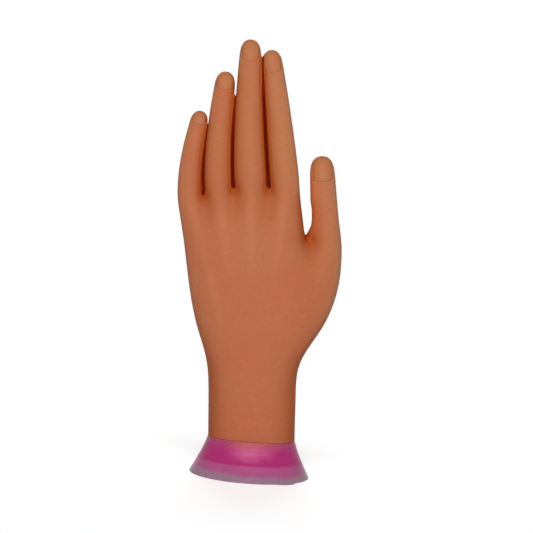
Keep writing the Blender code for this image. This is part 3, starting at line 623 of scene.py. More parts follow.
# Low ridges inside the gaps between the fingers, one on each side, which hide what lies behind: the height up to
# which they reach, then how far to the palm's side each one's crest lies
GAP_RIDGES = (0.1573, 0.1712, 0.1902)
GAP_RIDGE_CRESTS = (0.0016, 0.0040)
GAP_HEIGHTS = np.linspace(0.115, 0.195, 161)
GAP_RIDGE_WIDTH = 0.0011
GAP_RIDGE_LAP = 0.00022
GAP_RIDGE_LIFT = 0.0014  # how much nearer to the back the crests lie at the top
GAP_RIDGE_LIFT_SPAN = (0.030, 0.004)  # below the top
GAP_RIDGE_FADE = (0.0024, -0.0010)  # below the top
GAP_RIDGE_REACH = 0.0022  # past the gap's sides
GAP_RIDGE_ENDS = (0.006, 0.002)  # below the gap's bottom and above the ridges' top
GAP_RIDGE_ACROSS = 0.0004  # how far a side's points may lie past the gap's middle
GAP_RIDGE_FACING = (0.02, 0.30)


def side_of(finger, heights, side):
    """Where the finger's side lies across the hand at each height."""
    return np.array([centre(finger, h).x + side * half_width(finger, h) for h in heights])


def gap_ridges(points, normals):
    """How far each point in a gap between two long fingers moves across it."""
    x, y, z = points.T
    moved = np.zeros(len(x))
    for left, right, top in zip(LONG_FINGERS, LONG_FINGERS[1:], GAP_RIDGES):
        bottom = max(left.thumb_web, right.little_web)
        a, b = side_of(left, GAP_HEIGHTS, 1), side_of(right, GAP_HEIGHTS, -1)
        middle = np.interp(z, GAP_HEIGHTS, (a + b) / 2)
        width = np.interp(z, GAP_HEIGHTS, b - a)
        inside = np.abs(x - middle) < width / 2 + GAP_RIDGE_REACH
        inside &= (z > bottom - GAP_RIDGE_ENDS[0]) & (z < top + GAP_RIDGE_ENDS[1])
        for side, palmward in zip((-1, 1), GAP_RIDGE_CRESTS):
            facing = smooth_step(normals[:, 0] * -side, *GAP_RIDGE_FACING)
            facing *= 1 - smooth_step(z, *(top - below for below in GAP_RIDGE_FADE))
            target = middle - side * GAP_RIDGE_LAP - x
            held = inside & ((x - middle) * side > -GAP_RIDGE_ACROSS) & (facing > 0)
            lifted = palmward - GAP_RIDGE_LIFT * smooth_step(z, *(top - below for below in GAP_RIDGE_LIFT_SPAN))
            moved = np.where(held, target * hump(y - lifted, GAP_RIDGE_WIDTH) * facing, moved)
    return moved


# The notch between the palm and the thumb: heights, then where its two flanks stand
NOTCH_HEIGHTS = (0.0990, 0.1009, 0.1032, 0.1059, 0.1085, 0.1132, 0.1212)
NOTCH_PALM_SIDE = (0.0266, 0.0264, 0.0260, 0.0256, 0.0253, 0.0247, 0.0240)
NOTCH_THUMB_SIDE = (0.0268, 0.0269, 0.0284, 0.0297, 0.0300, 0.0300, 0.0289)
NOTCH_SPAN = (0.0960, 0.1003, 0.1150, 0.1212)
NOTCH_ROWS = np.linspace(THUMB_WEB, 0.125, 49)
NOTCH_INTO_THUMB = 0.006
NOTCH_X, NOTCH_Z = 0.0272, 0.0990
NOTCH_RAISE = 0.0012
NOTCH_RAISE_REACH = 0.0035
NOTCH_RAISE_LOW, NOTCH_RAISE_HIGH = 0.0960, 0.1040
# Painted shade beside the thumb's notch: its strength, the heights it spans and its reach
NOTCH_SHADE = 0.25
NOTCH_SHADE_SPAN = (0.0940, 0.1010, 0.1100, 0.1260)
NOTCH_SHADE_REACH = (0.0022, 0.0028)  # from the flank on the palm's side and the one on the thumb's
NOTCH_BOTTOM_REACH = (0.0045, 0.0055)  # across and up


def thumb_notch(points, normals):
    """How far each point at the thumb's notch moves across and up, which draws its round bottom into a V."""
    x, _, z = points.T
    palm_side = np.interp(z, NOTCH_HEIGHTS, NOTCH_PALM_SIDE)
    wanted = np.interp(z, NOTCH_HEIGHTS, NOTCH_THUMB_SIDE)
    plain = np.interp(z, NOTCH_ROWS, side_of(THUMB, NOTCH_ROWS, -1))
    share = np.clip((x - palm_side) / (plain - palm_side), 0, 1)
    share = np.where(x > plain, 1 - smooth_step(x - plain, 0, NOTCH_INTO_THUMB), share)
    up = NOTCH_RAISE * hump(x - NOTCH_X, NOTCH_RAISE_REACH) * smooth_step(normals[:, 2], 0.0, 0.7)
    up *= (z > NOTCH_RAISE_LOW) & (z < NOTCH_RAISE_HIGH)
    return (wanted - plain) * share * plateau(z, *NOTCH_SPAN), up


def notch_shade(points):
    """How much painted shade the vinyl gets on both sides of the thumb's notch."""
    x, _, z = points.T
    flanks = zip((NOTCH_PALM_SIDE, NOTCH_THUMB_SIDE), NOTCH_SHADE_REACH)
    sides = np.maximum(*(hump(x - np.interp(z, NOTCH_HEIGHTS, flank), reach) for flank, reach in flanks))
    return NOTCH_SHADE * sides * plateau(z, *NOTCH_SHADE_SPAN)


def notch_bottom(points):
    """1 at the bottom of the thumb's notch, 0 some millimetres from it. It deepens the painted shade there."""
    wide, high = NOTCH_BOTTOM_REACH
    away = np.hypot((points[:, 0] - NOTCH_X) / wide, (points[:, 2] - NOTCH_Z) / high)
    return smooth_step(1 - away, 0.0, 0.9)


SIDE_FACING, SIDE_SHELTER, SIDE_NOTCH = (0.34, 0.90), (0.02, 0.12), (0.0, 0.06)
LITTLE_SIDE_DROP = 0.6  # how much less the little finger's side of the palm shows as an outer side
LITTLE_SIDE_SPAN = (0.030, 0.050, 0.120, 0.140)
THUMB_START_X, THUMB_SIDE_X = 0.0200, 0.0285
THUMB_SIDE_FACING, THUMB_SIDE_SPAN = (0.15, 0.85), (0.098, 0.108)


def open_side(points, normals, sheltered, notch):
    """1 on the outer sides of the hand, 0 on its faces and in its gaps, and down to -1 on the thumb's inner side. It
    places painted reflection and painted shade on the outer sides, and painted light on the thumb's inner side.
    """
    x, _, z = points.T
    across = normals[:, 0]
    facing = smooth_step(np.abs(across), *SIDE_FACING)
    facing *= 1 - LITTLE_SIDE_DROP * (across < 0) * plateau(z, *LITTLE_SIDE_SPAN)
    facing *= (1 - smooth_step(sheltered, *SIDE_SHELTER)) * (1 - smooth_step(notch, *SIDE_NOTCH))
    thumb = smooth_step(-across, *THUMB_SIDE_FACING) * (x > THUMB_SIDE_X) * smooth_step(z, *THUMB_SIDE_SPAN)
    return np.where((across < 0) & (x > THUMB_START_X) & (z > THUMB_WEB), -thumb, facing)


CUTICLE_FOLD_AWAY, CUTICLE_FOLD_WIDTH, CUTICLE_FOLD_FADE = 0.0005, 0.0007, (0.0030, 0.0060)


def cuticle_fold(finger, points, settings):
    """The soft fold of skin behind and beside a nail."""
    local = points_in(points, nail_frame(finger))
    reach = nail_reach(finger)
    u = np.clip(local[:, 0] / reach, -1, 1)
    lip = NAIL_CUTICLE_ARC * (1 - np.sqrt(1 - u * u))
    behind = lip - local[:, 2]
    beside = np.abs(local[:, 0]) - reach
    away = np.maximum(behind, beside)
    fold = hump(np.maximum(away, 0) - CUTICLE_FOLD_AWAY, CUTICLE_FOLD_WIDTH) * (local[:, 1] < 0)
    fold *= 1 - smooth_step(local[:, 2], *CUTICLE_FOLD_FADE)
    return fold * settings.cuticle_height


def points_in(points, placed):
    inverse = np.array(placed.inverted())
    return points @ inverse[:3, :3].T + inverse[:3, 3]


# Masks for the skin's colours and its painted shade and light, worked out at rest

MASKS = ("shelter", "warmth", "flank", "crest", "side")
SHELTER_REACH = 0.0080
SHELTER_RAYS = 14
SHELTER_CONE = 0.75  # how wide the rays spread: 1 is a half sphere
SHELTER_START = 0.0001
SHELTER_SPREAD = 0.0035
SPREAD_STEPS = 120
# Strength of the painted shade in the valleys below the webs
VALLEY_SHADE = 0.16
NOTCH_SHELTER = 0.425
FLANK_NOTCH_DROP = 0.85
FLANK_NOTCH, FLANK_BACK, FLANK_TOP = (0.01, 0.07), (0.38, 0.88), (0.10, 0.50)


def shelter(points, normals, tree):
    """1 for each point deep in a gap between fingers, 0 in the open. It sets where painted shade and painted bounce
    light go.
    """
    tilt = [math.acos(1 - SHELTER_CONE * (i + 0.5) / SHELTER_RAYS) for i in range(SHELTER_RAYS)]
    turn = [i * math.pi * (3 - math.sqrt(5)) for i in range(SHELTER_RAYS)]
    found = np.zeros(len(points))
    for k, (point, normal) in enumerate(zip(points, normals)):
        up = Vector(normal)
        side = up.orthogonal().normalized()
        other = up.cross(side)
        start = Vector(point) + up * SHELTER_START
        total = 0.0
        for a, b in zip(tilt, turn):
            ray = up * math.cos(a) + (side * math.cos(b) + other * math.sin(b)) * math.sin(a)
            distance = tree.ray_cast(start, ray, SHELTER_REACH)[3]
            if distance is not None:
                total += 1 - distance / SHELTER_REACH
        found[k] = total / SHELTER_RAYS
    return found


def spread(bm, values, reach):
    """Lets the values run into each other over about this length along the surface."""
    pairs = np.array([[v.index for v in e.verts] for e in bm.edges])
    lengths = np.array([e.calc_length() for e in bm.edges])
    steps = int(np.ceil(2 * (reach / np.median(lengths)) ** 2))
    count = np.bincount(pairs.ravel(), minlength=len(values))
    for _ in range(min(steps, SPREAD_STEPS)):
        total = np.bincount(pairs[:, 0], values[pairs[:, 1]], len(values))
        total += np.bincount(pairs[:, 1], values[pairs[:, 0]], len(values))
        values = (values + total / np.maximum(count, 1)) / 2
    return values


def colour_masks(bm, points, normals, tree):
    """The values of the MASKS for each point, which lay painted shade, painted bounce light, a painted highlight and
    painted reflection and light onto the skin.
    """
    found = shelter(points, normals, tree)
    notch = notch_shade(points)
    # Painted shade in the gaps, the valleys and beside the thumb's notch, run together over the surface
    warmth = spread(bm, found + VALLEY_SHADE * np.clip(-dip(points, normals), 0, 1) + notch, SHELTER_SPREAD)
    # Painted bounce light on the fingers' sides in the gaps, less at the notch, on the back and on top
    flank = found * (1 - FLANK_NOTCH_DROP * smooth_step(notch, *FLANK_NOTCH))
    flank *= (1 - smooth_step(-normals[:, 1], *FLANK_BACK)) * (1 - smooth_step(normals[:, 2], *FLANK_TOP))
    # The bottom of the thumb's notch gets the gaps' painted shade too
    found = np.maximum(found, NOTCH_SHELTER * notch_bottom(points))
    side = open_side(points, normals, found, notch)
    return np.stack((found, np.clip(warmth, 0, 1), flank, crest(points, normals), side), axis=1)


# The skin's pieces

BORDER_REACH = 0.004
CUTICLE_AREA = (0.62, 0.004)  # share of the finger's width, and how far below the cuticle


@dataclass
class Surface:
    """A smooth surface, cut along the pieces' borders, with a normal and the masks for each point."""

    points: np.ndarray
    normals: np.ndarray
    masks: np.ndarray
    faces: list
    owners: list  # (finger index or None for the palm, piece number)


def borders_of(finger):
    """Planes between the finger's pieces: one at its root, then one halfway between each two knuckles."""
    knuckles = knuckles_of(finger)
    first = knuckles[0]
    planes = [section_at(first.place, -first.half_length - GAP)]
    for low, high in zip(knuckles, knuckles[1:]):
        top = (low.place @ Vector((0, 0, low.half_length))).z
        bottom = (high.place @ Vector((0, 0, -high.half_length))).z
        planes.append(section_at(section_frame(finger, (top + bottom) / 2), 0))
    return planes


def section_at(placed, offset):
    return placed @ Vector((0, 0, offset)), (placed.to_3x3() @ Vector((0, 0, 1))).normalized()


def bisect(bm, faces, point, normal, clear_inner=False):
    parts = set(faces)
    edges = {e for f in parts for e in f.edges}
    verts = {v for f in parts for v in f.verts}
    bmesh.ops.bisect_plane(
        bm, geom=[*verts, *edges, *parts], plane_co=point, plane_no=normal, clear_inner=clear_inner, dist=1e-7
    )


SEAM_STEPS = (0.00030, 0.00012, -0.00010)  # heights of the rows at the wrist's step, over the cup's top


def fit_spigot(bm):
    """Cuts the wrist off level in the cup, and draws in what stands in the cup's socket."""
    to_hand = HAND_PLACE.inverted()
    up = (to_hand.to_3x3() @ Vector((0, 0, 1))).normalized()
    low = CUP_AXIS + Vector((0, 0, CUP_HEIGHT - SOCKET_DEPTH + GAP))
    bisect(bm, bm.faces, to_hand @ low, up, clear_inner=True)
    for step in SEAM_STEPS:
        bisect(bm, bm.faces, to_hand @ (CUP_AXIS + Vector((0, 0, CUP_HEIGHT + step))), up)
    wide, deep = (size / 2 + COLLAR_STEP - COLLAR_WALL - GAP for size in (WRIST_WIDTH, WRIST_DEPTH))
    for vert in bm.verts:
        place = HAND_PLACE @ vert.co - CUP_AXIS
        if place.z < CUP_HEIGHT + SEAM_STEPS[2] + 1e-6:
            reach = (abs(place.x / wide) ** OVAL_POWER + abs(place.y / deep) ** OVAL_POWER) ** (1 / OVAL_POWER)
            place.x, place.y = place.x / reach, place.y / reach
            vert.co = to_hand @ (place + CUP_AXIS)


def piece_of(face, planes):
    region = face.material_index
    if region == 0:
        return None, 0
    middle = face.calc_center_median()
    number = sum((middle - point).dot(normal) > 0 for point, normal in planes[region - 1])
    return (None, 0) if number == 0 else (region - 1, number)


def normals_of(bm):
    bm.normal_update()
    return np.array([v.normal[:] for v in bm.verts])


def make_surface(levels, with_palm, settings, tree=None):
    """The skin's surface, a tree of it without its relief and one with it."""
    planes = [borders_of(finger) for finger in FINGERS]
    bm = smoothed(levels)
    if not with_palm:
        bmesh.ops.delete(bm, geom=[f for f in bm.faces if f.material_index == 0], context="FACES")
    for i, finger in enumerate(FINGERS):
        for point, normal in planes[i]:
            own = [f for f in bm.faces if f.material_index == i + 1]
            near = [f for f in own if abs(f.calc_center_median().z - point.z) < BORDER_REACH]
            bisect(bm, near, point, normal)
    if with_palm:
        fit_spigot(bm)
    normals = normals_of(bm)
    bm.verts.ensure_lookup_table()
    points = np.array([v.co[:] for v in bm.verts])
    rest = BVHTree.FromBMesh(bm)
    out = relief(points, normals, settings)
    if not with_palm:
        for finger in FINGERS:
            near = np.abs(points[:, 0] - centre(finger, finger.cuticle).x) < finger.root_width * CUTICLE_AREA[0]
            near &= points[:, 2] > finger.cuticle - CUTICLE_AREA[1]
            out[near] += cuticle_fold(finger, points[near], settings)
    across = gap_ridges(points, normals)
    at_notch, up = thumb_notch(points, normals)
    points = points + normals * out[:, None]
    points[:, 0] += across + at_notch
    points[:, 2] += up
    for vert, place in zip(bm.verts, points):
        vert.co = place
    normals = normals_of(bm)
    kept = BVHTree.FromBMesh(bm)
    made = Surface(
        points, normals, colour_masks(bm, points, normals, tree or kept),
        [[v.index for v in f.verts] for f in bm.faces], [piece_of(f, planes) for f in bm.faces],
    )
    bm.free()
    return made, rest, kept


def border_loops(faces):
    """Rings of points round a patch's open edges, each in the order that closes it."""
    edges = {}
    for face in faces:
        for a, b in zip(face, face[1:] + face[:1]):
            edges[a, b] = True
    following = {b: a for a, b in edges if (b, a) not in edges}
    loops = []
    while following:
        start, here = next(iter(following.items()))
        loop = [start]
        del following[start]
        while here != start:
            loop.append(here)
            here = following.pop(here)
        loops.append(loop)
    return loops


def patch(surface, owner):
    """One piece's points, normals, masks and faces, with its open ends closed, and how many faces are skin."""
    faces = [f for f, o in zip(surface.faces, surface.owners) if o == owner]
    used = sorted({i for f in faces for i in f})
    renumber = {old: new for new, old in enumerate(used)}
    faces = [[renumber[i] for i in f] for f in faces]
    skin = len(faces)
    faces += border_loops(faces)
    return surface.points[used], surface.normals[used], surface.masks[used], faces, skin


def face_normal(points, face):
    total = np.zeros(3)
    corners = points[face]
    for a, b in zip(corners, np.roll(corners, -1, axis=0)):
        total += np.cross(a, b)
    length = np.linalg.norm(total)
    return total / length if length > 0 else np.array((0.0, 0.0, 1.0))


def skin_mesh(name, points, faces, corner_normals, masks):
    """A mesh in the row frame, from points and normals in the hand's frame."""
    place = np.array(HAND_PLACE)
    world = points @ place[:3, :3].T + place[:3, 3]
    mesh = bpy.data.meshes.new(name)
    mesh.from_pydata([tuple(p) for p in world], [], faces)
    mesh.shade_smooth()
    mesh.normals_split_custom_set([tuple(n) for n in corner_normals @ place[:3, :3].T])
    keep_place(mesh)
    keep_values(mesh, MASKS, masks.T)
    return add_object(name, mesh)


def places_in(mesh):
    co = np.empty(len(mesh.vertices) * 3, np.float32)
    mesh.vertices.foreach_get("co", co)
    return co


def keep_place(mesh):
    """Keeps each point's place at rest, which the patterns follow."""
    mesh.attributes.new("place", "FLOAT_VECTOR", "POINT").data.foreach_set("vector", places_in(mesh))


def keep_values(mesh, names, columns):
    """Keeps values for each point, which the colours follow."""
    for name, values in zip(names, columns):
        values = np.ascontiguousarray(values, np.float32)
        mesh.attributes.new(name, "FLOAT", "POINT").data.foreach_set("value", values)


def plain_piece(name, surface, owner):
    points, normals, masks, faces, skin = patch(surface, owner)
    corners = []
    for i, face in enumerate(faces):
        corners += [normals[v] for v in face] if i < skin else [face_normal(points, face)] * len(face)
    return skin_mesh(name, points, faces, np.array(corners), masks)


CUT_SMOOTH = math.cos(math.radians(45))
ON_SKIN = 2e-6
SKIN_FACING = 0.8


def tip_piece(name, surface, owner, cutter):
    """A fingertip with its nail's bed cut out of it."""
    points, normals, masks, faces, skin = patch(surface, owner)
    mesh = bpy.data.meshes.new(name)
    mesh.from_pydata([tuple(p) for p in points], [], faces)
    whole = add_object(name, mesh)
    cut = whole.modifiers.new("Bed", "BOOLEAN")
    cut.operation, cut.solver, cut.object = "DIFFERENCE", "EXACT", cutter
    graph = bpy.context.evaluated_depsgraph_get()
    made = bpy.data.meshes.new_from_object(whole.evaluated_get(graph))
    bpy.data.objects.remove(whole)
    bpy.data.objects.remove(cutter)

    tree = BVHTree.FromPolygons([tuple(p) for p in points], faces[:skin])
    new_points = np.array([v.co[:] for v in made.vertices])
    new_faces = [list(p.vertices) for p in made.polygons]
    new_normals, new_masks, on_skin = [], [], []
    for place in new_points:
        _, _, index, distance = tree.find_nearest(Vector(place))
        corners = faces[index]
        away = np.linalg.norm(points[corners] - place, axis=1)
        weight = 1 / (away + 1e-7)
        weight /= weight.sum()
        normal = weight @ normals[corners]
        new_normals.append(normal / np.linalg.norm(normal))
        new_masks.append(weight @ masks[corners])
        on_skin.append(distance < ON_SKIN)
    flat = [face_normal(new_points, f) for f in new_faces]
    is_skin = [
        all(on_skin[v] for v in f) and flat[i] @ new_normals[f[0]] > SKIN_FACING for i, f in enumerate(new_faces)
    ]
    cut_normals = np.zeros((len(new_points), 3))
    for i, f in enumerate(new_faces):
        if not is_skin[i]:
            cut_normals[f] += flat[i]
    cut_normals /= np.maximum(np.linalg.norm(cut_normals, axis=1), 1e-9)[:, None]
    corners = []
    for i, f in enumerate(new_faces):
        for v in f:
            if is_skin[i]:
                corners.append(new_normals[v])
            else:
                corners.append(cut_normals[v] if cut_normals[v] @ flat[i] > CUT_SMOOTH else flat[i])
    return skin_mesh(name, new_points, new_faces, np.array(corners), np.array(new_masks))


# Nails


def nail_frame(finger):
    return section_frame(finger, finger.cuticle)


def nail_reach(finger):
    return NAIL_WIDTH_SHARE * half_width(finger, finger.cuticle)


def cuticle_line(u):
    return NAIL_CUTICLE_ARC * (1 - math.sqrt(max(1 - u * u, 0)))


def free_edge(finger, u):
    length = finger.tip_height - finger.cuticle - NAIL_SETBACK
    return length - NAIL_EDGE_ARC * (1 - math.sqrt(max(1 - u * u, 0)))


NAIL_COLUMNS = 25
NAIL_ROWS = 20
NAIL_GAP = 0.00006
NAIL_BED_OPEN = 0.0150
NAIL_BED_PAST = 0.002
PROBE_START, PROBE_LENGTH = 0.012, 0.02
HELD_STEPS = 5
RIM_ANGLE = math.radians(50)
RIM_ROUND = 0.0001


class NailForm:
    """The nail's curved form, which follows the fingertip's own surface."""

    def __init__(self, finger, tree, settings):
        self.finger, self.tree, self.settings = finger, tree, settings
        self.place = nail_frame(finger)
        self.reach = nail_reach(finger)
        self.columns = [-math.cos(math.pi * i / (NAIL_COLUMNS - 1)) for i in range(NAIL_COLUMNS)]

    def depth(self, x, along):
        """How far the skin lies in front of the finger's line."""
        inward = (self.place.to_3x3() @ Vector((0, 1, 0))).normalized()
        hit = self.tree.ray_cast(self.place @ Vector((x, -PROBE_START, max(along, 0))), inward, PROBE_LENGTH)[0]
        if hit is None:
            return 0.0
        return -(self.place.inverted() @ hit).y

    def face_depth(self, x, along):
        """How far the nail's outer face lies from the finger's line, lower in the slot than past it."""
        return self.depth(x, along) - mix(self.settings.cuticle_step, self.settings.flush, ease(along / NAIL_RISE))

    def held_depth(self, x, along):
        """The same under the nail, where it never rises on the way to the tip, so that the nail can slide out."""
        steps = [NAIL_RISE * i / HELD_STEPS for i in range(HELD_STEPS + 1)]
        return min(self.face_depth(x, step) for step in [*(s for s in steps if s < along), along])

    def slant(self, x):
        return math.asin(max(min(x / half_width(self.finger, self.finger.cuticle), 1), -1))

    def point(self, x, along, out, depth):
        slant = self.slant(x)
        return self.place @ Vector((x + out * math.sin(slant), -depth - out * math.cos(slant), along))

    def plate(self):
        """The nail itself, its edges rounded off."""
        thick = self.settings.thickness
        inner, outer = [], []
        for u in self.columns:
            x, lip, free = u * self.reach, cuticle_line(u), free_edge(self.finger, u)
            stations = [lip - NAIL_ROOT, lip - NAIL_ROOT / 2]
            stations += [mix(lip, free, math.sin(math.pi / 2 * i / NAIL_ROWS)) for i in range(NAIL_ROWS + 1)]
            inner.append([self.point(x, along, -thick, self.held_depth(x, along)) for along in stations])
            outer.append([self.point(x, along, 0, self.face_depth(x, along)) for along in stations])
        bm = slab(inner, outer)
        rim = [e for e in bm.edges if len(e.link_faces) == 2 and e.calc_face_angle(0) > RIM_ANGLE]
        bmesh.ops.bevel(bm, geom=rim, offset=RIM_ROUND, segments=2, profile=0.6, affect="EDGES")
        return bm

    def add_masks(self, mesh):
        """Keeps how far each point of the nail lies past the cuticle, in from the sides and short of the tip."""
        x, _, along = points_in(places_in(mesh).reshape(-1, 3), HAND_PLACE @ self.place).T
        u = x / self.reach
        lip = np.array([cuticle_line(v) for v in u])
        free = np.array([free_edge(self.finger, v) for v in u])
        keep_values(mesh, ("past_cuticle", "inset", "to_tip"), (along - lip, self.reach - np.abs(x), free - along))

    def bed(self):
        """The slot under the cuticle and the open bed beyond it, cut square to the finger's back."""
        far = NAIL_EDGE_ARC + NAIL_SETBACK + NAIL_BED_PAST
        inner, outer = [], []
        for u in self.columns:
            x, lip, free = u * (self.reach + NAIL_GAP), cuticle_line(u), free_edge(self.finger, u) + NAIL_GAP
            steep = 1 / math.cos(self.slant(x))
            floor = (self.settings.thickness + NAIL_GAP) * steep
            slot = [lip - NAIL_ROOT - NAIL_GAP, lip - NAIL_GAP / 2]
            bed = [mix(lip, free, math.sin(math.pi / 2 * i / NAIL_ROWS)) for i in range(NAIL_ROWS + 1)]
            low = [(x, floor - self.held_depth(x, along), along) for along in slot + bed]
            high = [(x, -self.face_depth(x, along) - NAIL_GAP * steep, along) for along in slot]
            high += [(x, -NAIL_BED_OPEN, along) for along in bed]
            low.append((x, low[-1][1], free + far))
            high.append((x, -NAIL_BED_OPEN, free + far))
            inner.append([self.place @ Vector(p) for p in low])
            outer.append([self.place @ Vector(p) for p in high])
        return slab(inner, outer)


def slab(inner, outer):
    """A closed solid between two grids of points with as many rows and columns each."""
    bm = bmesh.new()
    low = [[bm.verts.new(p) for p in row] for row in inner]
    high = [[bm.verts.new(p) for p in row] for row in outer]
    for a, b, c, d in zip(low, low[1:], high, high[1:]):
        for i in range(len(a) - 1):
            bm.faces.new((a[i], a[i + 1], b[i + 1], b[i]))
            bm.faces.new((c[i], d[i], d[i + 1], c[i + 1]))
        for i in (0, -1):
            bm.faces.new((a[i], b[i], d[i], c[i]))
    for i in (0, -1):
        for k in range(len(low[i]) - 1):
            bm.faces.new((low[i][k], low[i][k + 1], high[i][k + 1], high[i][k]))
    bmesh.ops.recalc_face_normals(bm, faces=bm.faces)
    return bm


def closed_rings(rings):
    """A closed solid through rings with as many points each."""
    bm = bmesh.new()
    made = [[bm.verts.new(point) for point in ring] for ring in rings]
    for lower, upper in zip(made, made[1:]):
        for i in range(len(lower)):
            j = (i + 1) % len(lower)
            bm.faces.new((lower[i], lower[j], upper[j], upper[i]))
    bm.faces.new(made[0][::-1])
    bm.faces.new(made[-1])
    bmesh.ops.recalc_face_normals(bm, faces=bm.faces)
    return bm


def object_from(name, bm, placed=None, sharp=38):
    """An object from a bmesh, with edges sharp from this many degrees on."""
    if placed is not None:
        bmesh.ops.transform(bm, matrix=placed, verts=bm.verts)
    mesh = bpy.data.meshes.new(name)
    bm.to_mesh(mesh)
    bm.free()
    mesh.shade_smooth()
    mesh.set_sharp_from_angle(angle=math.radians(sharp))
    keep_place(mesh)
    return add_object(name, mesh)


# Wires

WIRE_SIDES = 16
WIRE_STEP = 0.0012
WIRE_END = 0.00025
ANCHOR_STEPS = 8


def wire_path(finger):
    """Close points along the wire's middle, from its end in the core to its end in the fingertip."""
    exit_x, exit_height = finger.anchor
    start = Vector((exit_x, 0, exit_height))
    root = centre(finger, finger.web)
    run = (root - start).length
    lead = ((root - start).normalized() + Vector((0, 0, 1))).normalized()
    up = section_frame(finger, finger.web).to_3x3() @ Vector((0, 0, 1))
    a, b = start + lead * run / 3, root - up * run / 3
    points = [start - lead * WIRE_ANCHOR * (1 - i / ANCHOR_STEPS) for i in range(ANCHOR_STEPS)]
    count = math.ceil(run / WIRE_STEP)
    for i in range(count):
        t = i / count
        points.append((1 - t) ** 3 * start + 3 * t * (1 - t) ** 2 * a + 3 * t * t * (1 - t) * b + t**3 * root)
    last = knuckles_of(finger)[-1]
    end = last.place.translation.z + last.half_length + WIRE_GRIP
    steps = math.ceil((end - finger.web) / WIRE_STEP)
    return points + [centre(finger, mix(finger.web, end, i / steps)) for i in range(steps + 1)]


def split_path(points, planes):
    """The path cut where it crosses each plane."""
    parts, here = [], [points[0]]
    waiting = list(planes)
    for a, b in zip(points, points[1:]):
        if waiting:
            point, normal = waiting[0]
            before, after = (a - point).dot(normal), (b - point).dot(normal)
            if before <= 0 < after:
                middle = a.lerp(b, -before / (after - before))
                parts.append([*here, middle])
                here = [middle]
                waiting.pop(0)
        here.append(b)
    return [*parts, here]


def tube(points, round_start, round_end):
    """A round wire along points, its free ends eased off."""
    rings = []
    last = len(points) - 1
    turns = [2 * math.pi * k / WIRE_SIDES for k in range(WIRE_SIDES)]
    for i, point in enumerate(points):
        along = (points[min(i + 1, last)] - points[max(i - 1, 0)]).normalized()
        across = Vector((along.z, 0, -along.x)).normalized()
        palmward = along.cross(across)
        ended = (i == 0 and round_start) or (i == last and round_end)
        radius = WIRE_RADIUS - (WIRE_END if ended else 0)
        rings.append([point + radius * (math.cos(t) * across + math.sin(t) * palmward) for t in turns])
    return closed_rings(rings)


# Suction cup

CENTRE_RADIUS = 0.0015
HOLLOW_STEPS = 4
TAB_FULL, TAB_FADE = 0.16, 0.36  # shares of the pull tab's width
# Rings of the foot with the pull tab: height, how far out, and share of the tab's length
FOOT_RINGS = (
    (0.00005, -0.0001, 1), (0.0004, 0, 1), (PULL_TAB_THICKNESS - 0.0004, 0, 1), (PULL_TAB_THICKNESS, -0.00004, 0.93),
    (PULL_TAB_THICKNESS + 0.0004, 0, 0.25), (PULL_TAB_THICKNESS + 0.0009, 0, 0),
)
# The cone's rows: where they start above the tab and stop below the top, and their spacing
ROW_START, ROW_STOP, ROW_SPACING = 0.0014, 0.0008, 0.00024
# Rings of the top edge: how far below the top, and how far out
TOP_RINGS = ((0.00045, 0), (0.0002, -0.00006), (0.00004, -0.0002), (0, -0.0004))
# The fine rings' rise above the raised ring and their fall below the top: where each starts, and its length
FINE_RISE, FINE_FALL = (0.001, 0.004), (0.003, 0.002)
SOCKET_EDGE, SOCKET_CORNER, KNOB_CORNER = 0.0002, 0.0005, 0.0006
# Rings of the knob: share of its bead, and height from its top
KNOB_RINGS = ((0, -0.0045), (0.3, -0.0042), (1, -0.0034), (1, -0.0020), (0.8, -0.0015), (0, -0.0008), (-1.2, 0))


def turned(radius, height):
    """A circle of points about the cup's axis."""
    turns = [2 * math.pi * i / CUP_SEGMENTS for i in range(CUP_SEGMENTS)]
    return [Vector((radius * math.cos(t), radius * math.sin(t), height)) for t in turns]


def oval(half_x, half_y, height, round_share=0.0, radius=0.0, tab=0.0):
    """An oval ring, which turns into a circle with the pull tab as the share grows."""
    points = []
    for i in range(CUP_SEGMENTS):
        turn = 2 * math.pi * i / CUP_SEGMENTS
        c, s = math.cos(turn), math.sin(turn)
        x = half_x * math.copysign(abs(c) ** (2 / OVAL_POWER), c)
        y = half_y * math.copysign(abs(s) ** (2 / OVAL_POWER), s)
        away = abs((turn - PULL_TAB_ANGLE + math.pi) % (2 * math.pi) - math.pi) * CUP_RIM_RADIUS
        reach = radius + tab * (1 - ease((away - PULL_TAB_WIDTH * TAB_FULL) / (PULL_TAB_WIDTH * TAB_FADE)))
        points.append(Vector((mix(x, reach * c, round_share), mix(y, reach * s, round_share), height)))
    return points


